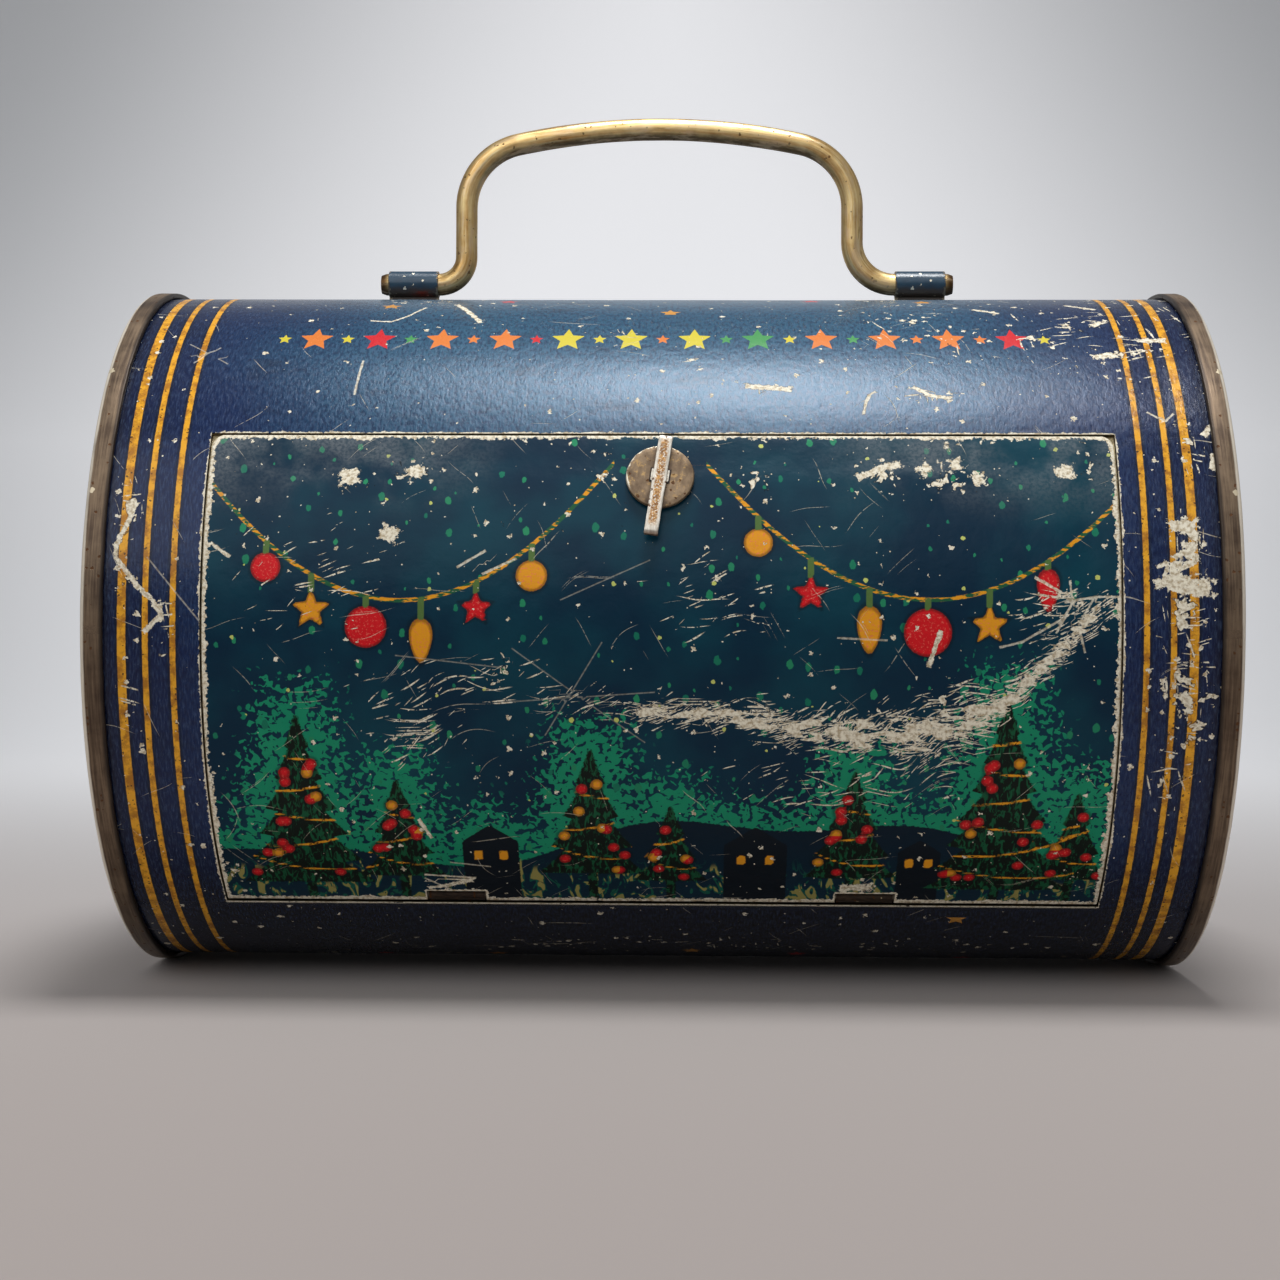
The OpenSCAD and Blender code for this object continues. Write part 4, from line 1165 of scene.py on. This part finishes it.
def makeEnd(name, side, metal, node):
    e, half = endShape, tin["sheet"] / 2
    panel, top = e["panel"] - half, tin["halfLength"] - half
    step = [(e["stepRadius"] - 1.2, panel + e["stepHeight"], 1.2), (e["stepRadius"] + 0.8, panel, 0.9)]
    seam = e["seamRadius"] - half
    foot = tin["halfLength"] - e["seamHeight"] + half
    corners = [(0.01, panel + e["stepHeight"], 0)] + step + [
        (e["wallRadius"], panel, 0.5), (e["wallRadius"] + 0.05, top, 0.42), (seam, top, 0.75),
        (seam - 0.03, foot, 0.18), (e["hookRadius"], foot, 0.18), (e["hookRadius"], top - 1.4, 0)]
    line = refined(foldedLine(corners, 7), 1.4)
    normal = lineNormals(line)
    out, back = line + normal * half, line - normal * half
    out[0, 0] = back[0, 0] = 0.4
    loop = np.concatenate([out, back[::-1]])
    along = np.concatenate([lengthAlong(line), lengthAlong(line)[::-1]])
    turn = np.linspace(0, 360, e["turns"], endpoint=False)
    radii, turns = np.meshgrid(loop[:, 0], turn, indexing="ij")
    heights = np.broadcast_to(loop[:, 1][:, None], radii.shape)
    # hand-worn seam: the rim's top sinks a little here and there, and its side is not quite round
    ring = onTin(np.zeros_like(turns), turns, 65.0)
    wobble = (1 + unevenness(ring, 11 + side, 60.0)) / 2
    nick = (1 + unevenness(ring, 31 + side, 9.0)) / 2
    onRim = ease(radii, 63.6, 64.6)
    swell = sum(h * np.exp(-((radii - r) / 1.3) ** 2) for r, h in e["beads"])
    x = heights - onRim * ease(heights, 97.5, 99.5) * (0.10 * wobble + 0.05 * nick) + swell
    x = x + onRim * ease(-heights, -97.5, -96.2) * 0.10 * (nick - 0.5)
    radius = radii - onRim * ease(radii, 65.2, 66.1) * (0.06 * wobble + 0.05 * nick)
    skin = skinAt(along[:, None], np.radians(turns) * tin["radius"])
    rings = onTin(side * x, turns, radius)
    inward = np.repeat(np.concatenate([np.zeros(len(out)), np.ones(len(back))])[:, None], len(turn), 1)
    solid = ringedSolid(rings, {"skin": skin, "inside": inward, "out": x - 95.0, "reach": radius})
    return addPiece(name, [solid], [metal], "shell", [node], sharp=50)


# Door: a curved sheet with a pressed middle, hemmed edges and its foot rolled round the hinge wire
doorShape = {
    "cell": 0.62, "cornerCut": 2.4, "middleInset": 5.0, "middleRise": 0.3, "middleCorner": 5.0, "shoulder": 6.0,
    "hem": 4.0, "hemSink": 0.7, "hingeAngle": -49.58, "hingeRadius": 63.78, "rollRadius": 1.045, "rollTurn": 292.0,
    "strapPlace": 37.0, "notch": 10.8, "notchHeight": 3.6, "latchHole": 2.6, "latchDrop": 9.1, "wave": 0.07,
    # place along, height, half length along, half height, depth
    "dents": [(-64, 84, 9, 7, 0.22), (62, 80, 12, 8, 0.18), (-60, 12, 14, 6, 0.14), (12, 60, 26, 16, 0.12),
              (50, 22, 15, 9, 0.16)],
}


def makeDoor(lacquer):
    d, half = doorShape, doorway["halfWidth"]
    notch = [s * d["strapPlace"] + t * d["notch"] / 2 for s in (-1, 1) for t in (-1, 1)]
    nearEdge = [0, 0.03, 0.12, 0.3, 0.6, 1.0, 1.6]
    marks = [-half + e for e in nearEdge] + notch + [half - e for e in nearEdge[::-1]]
    x = spaced(marks, d["cell"])
    height = math.radians(doorway["top"] - d["hingeAngle"]) * tin["radius"]
    base = math.radians(doorway["bottom"] - d["hingeAngle"]) * tin["radius"]
    rise = spaced([0, base + d["notchHeight"]] + [height - e for e in nearEdge[::-1]], d["cell"])
    roll = np.radians(np.linspace(d["rollTurn"], 0, 22, endpoint=False))
    xs, ups = np.meshgrid(x, np.concatenate([np.zeros(len(roll)), rise]), indexing="ij")
    turn = np.concatenate([roll, np.zeros(len(rise))])[None] + 0 * xs
    angles = d["hingeAngle"] + arcAngle(ups)
    # distance to the nearest hemmed edge, with the two top corners cut round
    cut = d["cornerCut"]
    short = cut - np.sqrt(np.clip(cut ** 2 - np.clip(ups - height + cut, 0, cut) ** 2, 0, None))
    outline = half - short
    wide = np.sign(xs) * np.where(np.abs(xs) > half - 12,
                                  half - 12 + (np.abs(xs) - half + 12) * (outline - half + 12) / 12, np.abs(xs))
    edge = np.minimum(half - np.abs(xs), height - ups)
    rolling = turn > 0
    edge = np.where(rolling, half - np.abs(xs), edge)
    # pressed middle
    low = base + d["middleInset"] + 1.2
    inset = -roundedBox(wide, ups - (height - d["middleInset"] + low) / 2, half - d["middleInset"],
                        (height - d["middleInset"] - low) / 2, d["middleCorner"])
    press = ease(inset, -0.2, d["shoulder"])
    smooth = onTin(wide, angles, tin["radius"])
    waves = d["wave"] * (1 + unevenness(smooth, 21, 46.0)) / 2 + 0.04 * (1 + unevenness(smooth, 22, 14.0)) / 2
    for place, up, across, around, deep in d["dents"]:
        waves = waves + deep * bell(xs - place, ups - up, across, around)
    waves = waves * ease(ups, 2, 10) * ease(edge, 0.4, 5)
    lift = d["middleRise"] * press - waves
    # folded edge: both faces meet in a half circle of half the hem's thickness
    full = np.where(rolling | (ups < 3), tin["sheet"], d["hemSink"])
    curve = np.sqrt(np.clip((full / 2) ** 2 - np.clip(full / 2 - edge, 0, full / 2) ** 2, 1e-4, None))
    fold = full / 2 - curve
    folded = 1 - ease(edge, d["hem"] - 0.5, d["hem"])
    hem = np.where(rolling | (ups < 3), 0.0, (d["hemSink"] - tin["sheet"]) * folded)
    t = tin["sheet"] / 2
    radial = onTin(0 * xs, angles, 1.0) - onTin(0 * xs, angles, 0.0)
    down = onTin(0 * xs, angles - 90, 1.0) - onTin(0 * xs, angles, 0.0)
    normal = radial * np.cos(turn)[..., None] + down * np.sin(turn)[..., None]
    centre = onTin(wide, angles, tin["radius"] - t)
    centre = np.where(rolling[..., None], onTin(xs, angles, d["hingeRadius"]) + normal * d["rollRadius"], centre)
    outer = centre + normal * (t + lift - fold)[..., None]
    inner = centre - normal * (t - lift + hem - fold)[..., None]
    midX = (x[:-1] + x[1:]) / 2
    midV = ((ups + np.where(rolling, -1.0, 0.0))[0, :-1] + ups[0, 1:]) / 2
    inNotch = np.abs(np.abs(midX) - d["strapPlace"]) < d["notch"] / 2
    keep = ~(inNotch[:, None] & (midV < base + d["notchHeight"])[None])
    keep &= np.hypot(midX[:, None], (midV - height + d["latchDrop"])[None]) > d["latchHole"]
    up = ups - base
    skin = skinAt(xs, up)
    toNotch = np.hypot(np.clip(np.abs(np.abs(xs) - d["strapPlace"]) - d["notch"] / 2, 0, None),
                       np.clip(up - d["notchHeight"], 0, None))
    marks = {"edge": np.minimum(edge, toNotch * 2), "skin": skin, "rolled": turn, **doorArt(xs, up),
             **strokeMarks(xs, up, doorPaint["strokes"])}
    return addPiece("door", [closedSheet(outer, inner, keep, marks=marks)], [lacquer], "door",
                    ["door_panel"], sharp=42)


# Latch frame on the door: x across, y up the door, z out from the body's axis, turned to the lever's lean
latchShape = {
    "angle": 31.4 - math.degrees(9.1 / 65), "lean": 7.5, "discRadius": 6.0, "discLow": 65.7, "discHigh": 66.5,
    "leverWidth": 2.6, "leverThick": 0.6, "leverLow": 66.5, "long": 11.4, "short": 7.9, "drop": 0.9,
    "earPlace": 1.4, "earLength": 2.2, "earThick": 0.4, "earFoot": 64.0,
}


def onLatch(x, y, z):
    x, y, z = np.broadcast_arrays(x, y, z)
    lean, a = math.radians(-latchShape["lean"]), math.radians(latchShape["angle"])
    across, up = x * math.cos(lean) - y * math.sin(lean), x * math.sin(lean) + y * math.cos(lean)
    return np.stack([across, up * math.sin(a) - z * math.cos(a),
                     tin["axis"] + up * math.cos(a) + z * math.sin(a)], -1)


def makeLatchDisc(metal):
    s = latchShape
    line = refined(foldedLine([(0.02, s["discHigh"] - 0.06, 0), (1.6, s["discHigh"] - 0.05, 1.0),
                               (s["discRadius"] - 0.9, s["discHigh"] - 0.02, 1.5),
                               (s["discRadius"] - 0.05, s["discHigh"] - 0.12, 0.22),
                               (s["discRadius"], s["discLow"] + 0.02, 0.06), (0.02, s["discLow"] + 0.02, 0)], 6), 0.7)
    turn = np.radians(np.linspace(0, 360, 72, endpoint=False))
    radii, turns = np.meshgrid(line[:, 0], turn, indexing="ij")
    levels = np.broadcast_to(line[:, 1][:, None], radii.shape)
    flat = np.stack([radii * np.cos(turns), radii * np.sin(turns), levels], -1)
    ragged = 0.05 * (1 + unevenness(flat, 41, 3.0)) * ease(radii, 5.2, 6)
    dished = 0.03 * (1 + unevenness(flat, 42, 7.0)) * (levels > s["discLow"] + 0.3)
    rings = onLatch((radii - ragged) * np.cos(turns), (radii - ragged) * np.sin(turns), levels - dished)
    marks = {"skin": np.stack([radii * np.cos(turns), radii * np.sin(turns), levels - s["discLow"]], -1),
             "reach": radii}
    return addPiece("latch-disc", [ringedSolid(rings, marks)], [metal], "latch", ["latch_disc"],
                    sharp=45)


# Bar of a strip: points along its centre line in a plane, a width across, and rounded long edges
def stripSolid(line, thick, halfWidth, place, columns=9, crown=0.0, bevel=0.1):
    normal = lineNormals(line)
    across = np.sin(np.linspace(-math.pi / 2, math.pi / 2, columns))
    _, spread = np.meshgrid(np.arange(len(line)), across, indexing="ij")
    widths = halfWidth if np.ndim(halfWidth) else np.full(len(line), halfWidth)
    wide = spread * widths[:, None]
    edge = widths[:, None] - np.abs(wide)
    ends = np.minimum(lengthAlong(line), lengthAlong(line)[::-1])[:, None]
    near = np.clip(np.minimum(edge, ends + 0.02), 0, bevel)
    soft = bevel - np.sqrt(np.clip(bevel ** 2 - (bevel - near) ** 2, 0, None))
    top = thick / 2 - soft + crown * (1 - spread ** 2)
    outer = line[:, None] + normal[:, None] * top[..., None]
    inner = line[:, None] - normal[:, None] * (thick / 2 - soft)[..., None]
    along = np.broadcast_to(lengthAlong(line)[:, None], wide.shape)
    skin = skinAt(wide, along)
    return closedSheet(place(wide, outer), place(wide, inner),
                       marks={"skin": skin, "edge": np.minimum(edge, ends + 0 * edge)})


def makeLatchLever(metal):
    s = latchShape
    t = s["leverThick"]
    mid = s["leverLow"] + t / 2
    line = refined(foldedLine([(-s["long"] + t / 2, mid - s["drop"] + 0.02), (-s["long"] + t / 2, mid, 0.5),
                               (s["short"] - t / 2, mid, 0.5), (s["short"] - t / 2, mid - s["drop"] + 0.02)], 7),
                   0.45)
    length = lengthAlong(line)
    worn = 0.05 * unevenness(np.stack([length, 0 * length, 0 * length], -1), 51, 8.0)
    widths = s["leverWidth"] / 2 - 0.06 + np.clip(worn, -0.06, 0.06)
    bar = stripSolid(line, t - 0.06, widths, lambda w, p: onLatch(w, p[..., 0], p[..., 1]), 11, 0.03, 0.16)
    solids = [bar]
    for side in (-1, 1):
        ear = np.array([(side * s["earPlace"], s["earFoot"]), (side * s["earPlace"], s["leverLow"] + 0.2)])
        solids.append(stripSolid(refined(ear, 0.4), s["earThick"], s["earLength"] / 2,
                                 lambda w, p: onLatch(p[..., 0], w, p[..., 1]), 5, 0.0, 0.08))
    return addPiece("latch-lever", solids, [metal], "latch", ["latch_lever"], sharp=40)


# Handle: a round wire carried along its centre line: stub, lower bend, leg, shoulder and crown on each side
handleShape = {
    "wire": 2.2, "pivot": 134.8, "rise": 31.0, "shoulderRadius": 13.0, "shoulderTurn": 78.0,
    "left": {"leg": -40.0, "bendEnd": -45.5, "stub": -57.0},
    "right": {"leg": 37.0, "bendEnd": 45.5, "stub": 57.0},
    "crownRadius": 135.65, "crownPlace": -1.5,
}


def handleLine():
    h = handleShape
    turn, r, shoulder = math.radians(h["shoulderTurn"]), h["crownRadius"], h["shoulderRadius"]
    legTop = h["rise"] - shoulder * math.sin(turn) - r * (1 - math.sin(turn))
    crown = np.linspace(turn, math.pi - turn, 40)
    sides = []
    for s in (h["right"], h["left"]):
        out = np.sign(s["leg"])
        foot = abs(s["bendEnd"]) - abs(s["leg"])
        lower = np.radians(np.linspace(-90, -180, 14))
        upper = np.radians(np.linspace(0, h["shoulderTurn"], 26))
        bend = np.stack([abs(s["bendEnd"]) + foot * np.cos(lower), foot + foot * np.sin(lower)], -1)
        arc = np.stack([abs(s["leg"]) - shoulder + shoulder * np.cos(upper), legTop + shoulder * np.sin(upper)], -1)
        path = np.concatenate([[[abs(s["stub"]), 0]], bend, arc])
        sides.append(path * [out, 1])
    over = np.stack([h["crownPlace"] + r * np.cos(crown[1:-1]), h["rise"] - r + r * np.sin(crown[1:-1])], -1)
    return refined(np.concatenate([sides[0], over, sides[1][::-1]]), 1.0)


def makeHandle(metal):
    h = handleShape
    line = handleLine()
    normal = lineNormals(line)
    length = lengthAlong(line)
    around = np.radians(np.linspace(0, 360, 36, endpoint=False))
    # blunt ends: the last rings shrink onto the cut face
    end = np.minimum(length, length[::-1])
    lengths, turns = np.meshgrid(length, around, indexing="ij")
    radius = h["wire"] - 0.35 * (1 - ease(end, 0, 0.5))[:, None] + 0 * turns
    spot = np.stack([lengths, 3 * np.cos(turns), 3 * np.sin(turns)], -1)
    radius = radius - 0.05 * (1 + unevenness(spot, 61, 24.0)) / 2 - 0.02 * (1 + unevenness(spot, 62, 5.0)) / 2
    flat = line[:, None] + normal[:, None] * (radius * np.cos(turns))[..., None]
    rings = np.stack([flat[..., 0], radius * np.sin(turns), h["pivot"] + flat[..., 1]], -1)
    skin = skinAt(lengths, turns * h["wire"])
    solid = ringedSolid(rings, {"skin": skin, "end": np.broadcast_to(end[:, None], lengths.shape),
                                "under": -normal[:, 1:] * np.cos(turns)})
    return addPiece("handle", [solid], [metal], "handle", ["handle_bail"], sharp=50)


# Loop: a strip wrapped round the wire, pinched into a neck and spread flat inside the body
loopShape = {"place": 50.5, "width": 10.0, "thick": 0.4, "bore": 2.25, "neck": 0.25, "foot": 5.0, "wall": 64.45}


def makeLoop(name, side, lacquer, node):
    s = loopShape
    centre = s["bore"] + s["thick"] / 2
    pivot = handleShape["pivot"] - tin["axis"]
    start = math.asin(s["neck"] / centre)
    curl = np.linspace(-math.pi / 2 - start, -2.5 * math.pi + start, 56)
    ring = np.stack([centre * np.cos(curl), pivot + centre * np.sin(curl)], -1)
    bend = foldedLine([(-s["foot"], s["wall"] - 0.15, 0), (-s["neck"], s["wall"], 0.3),
                       (-s["neck"], pivot - centre, 0)], 5)
    line = np.concatenate([bend[:-1], ring, (bend[:-1] * [-1, 1])[::-1]])
    line = refined(line, 0.8)
    half = s["width"] / 2 - 0.04
    solid = stripSolid(line, s["thick"], half, lambda w, p: np.stack(
        [side * s["place"] + w, p[..., 0], tin["axis"] + p[..., 1]], -1), 15, 0.0, 0.12)
    return addPiece(name, [solid], [lacquer], "shell", [node], sharp=40)


makeBody(makeBodyLacquer())
endMetal = makeEndMetal()
makeEnd("end-left", -1, endMetal, "end_cap_left")
makeEnd("end-right", 1, endMetal, "end_cap_right")
makeDoor(makeDoorLacquer())
makeLatchDisc(makeDiscMetal())
makeLatchLever(makeLeverMetal())
makeHandle(makeHandleBrass())
loopLacquer = makeLoopLacquer()
makeLoop("loop-left", -1, loopLacquer, "handle_loop_left")
makeLoop("loop-right", 1, loopLacquer, "handle_loop_right")
hingeTin = makeHingeMetal("hinge-tin", (24, 20, 18), (70, 56, 44), (0.5, 2.0, 2.0))
hingeWire = makeHingeMetal("hinge-wire", (90, 80, 66), (176, 166, 146), (0.3, 2.5, 2.5))
for node, metal in (("hinge_strap_left", hingeTin), ("hinge_strap_right", hingeTin),
                    ("hinge_pin", hingeWire), ("latch_tongue", hingeWire)):
    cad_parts[node].data.materials.clear()
    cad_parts[node].data.materials.append(metal)
print("pieces and finishes made")

# Camera: at the height of the body's axis, 455 mm in front of it and a little to the right
cameraShape = {"place": (7.0, -455.0, 66.2), "yaw": 0.0263, "pitch": -0.0054, "roll": -0.004, "lens": 63.94}
camera = bpy.data.objects.new("camera", bpy.data.cameras.new("camera"))
camera.data.lens = cameraShape["lens"]
camera.data.sensor_fit = "HORIZONTAL"
camera.data.clip_start = 0.01
facing = (Matrix.Rotation(cameraShape["yaw"], 4, "Z") @ Matrix.Rotation(cameraShape["pitch"], 4, "X")
          @ Matrix.Rotation(cameraShape["roll"], 4, "Y") @ Matrix.Rotation(math.pi / 2, 4, "X"))
camera.matrix_world = Matrix.Translation([c * 0.001 for c in cameraShape["place"]]) @ facing
scene.collection.objects.link(camera)
scene.camera = camera
scene.view_settings.view_transform = "Standard"


# Floor and backdrop: one profile carried sideways, flat and then curved up behind
studio = {"front": -2.2, "bendStart": 0.7, "bend": 0.7, "top": 3.2, "half": 9.0, "world": 0.33, "glow": 0.465,
          # lamp: place, aim, size, power
          "lamps": {"overhead": ((0.04, -0.10, 0.85), (0.01, 0, 0.066), (0.19, 0.34), 4.9),
                    "front": ((-0.5, -1.05, 0.95), (0, 0, 0.06), (1.7, 1.1), 6.9)}}


def makeFloor():
    s = studio
    bend = np.radians(np.linspace(-90, 0, 24))
    curve = np.stack([s["bendStart"] + s["bend"] * np.cos(bend), s["bend"] * (1 + np.sin(bend))], -1)
    line = np.concatenate([[[s["front"], 0]], curve, [[s["bendStart"] + s["bend"], s["top"]]]])
    n = len(line)
    points = np.stack([np.repeat([-s["half"], s["half"]], n), np.tile(line[:, 0], 2), np.tile(line[:, 1], 2)], -1)
    mesh = bpy.data.meshes.new("floor")
    mesh.from_pydata(points.tolist(), [], [(i, i + n, i + n + 1, i + 1) for i in range(n - 1)])
    mesh.shade_smooth()
    floor = bpy.data.objects.new("floor", mesh)
    scene.collection.objects.link(floor)
    made, shader = freshMaterial("floor-paper", specular=0.2)
    shader.inputs["Roughness"].default_value = 0.9
    # the paper is lighter behind the tin, and seen directly it has a pale round glow there
    place = objectPlace()
    x, y, z = splitOf(place)
    plug(mixColour(between(y, -0.3, 0.8), (164, 155, 151), (216, 217, 219)), shader.inputs["Base Color"])
    away = abs(x + 0.02) + abs(z - 0.2) * 0.5
    path = put("LightPath").outputs
    seen = most(*(shaderValue(path["Is %s Ray" % kind]) for kind in ("Camera", "Glossy", "Transmission")))
    glow = seen * between(away, 0.76, 0.14) * between(y, 0.1, 0.8) * s["glow"]
    plug(mixColour(glow, (0, 0, 0, 1), (252, 252, 255)), shader.inputs["Emission Color"])
    shader.inputs["Emission Strength"].default_value = 1.0
    mesh.materials.append(made)


def makeLamp(name, place, aim, size, power):
    light = bpy.data.lights.new(name, "AREA")
    light.shape = "RECTANGLE"
    light.size, light.size_y = size
    light.energy = power
    lamp = bpy.data.objects.new(name, light)
    lamp.location = place
    lamp.rotation_euler = (Vector(aim) - Vector(place)).to_track_quat("-Z", "Y").to_euler()
    scene.collection.objects.link(lamp)


makeFloor()
for name, settings in studio["lamps"].items():
    makeLamp(name, *settings)
world = bpy.data.worlds.new("room")
world.use_nodes = True
world.node_tree.nodes["Background"].inputs[0].default_value = (0.95, 0.97, 1, 1)
world.node_tree.nodes["Background"].inputs[1].default_value = studio["world"]
scene.world = world
print("camera, lamps and floor set")
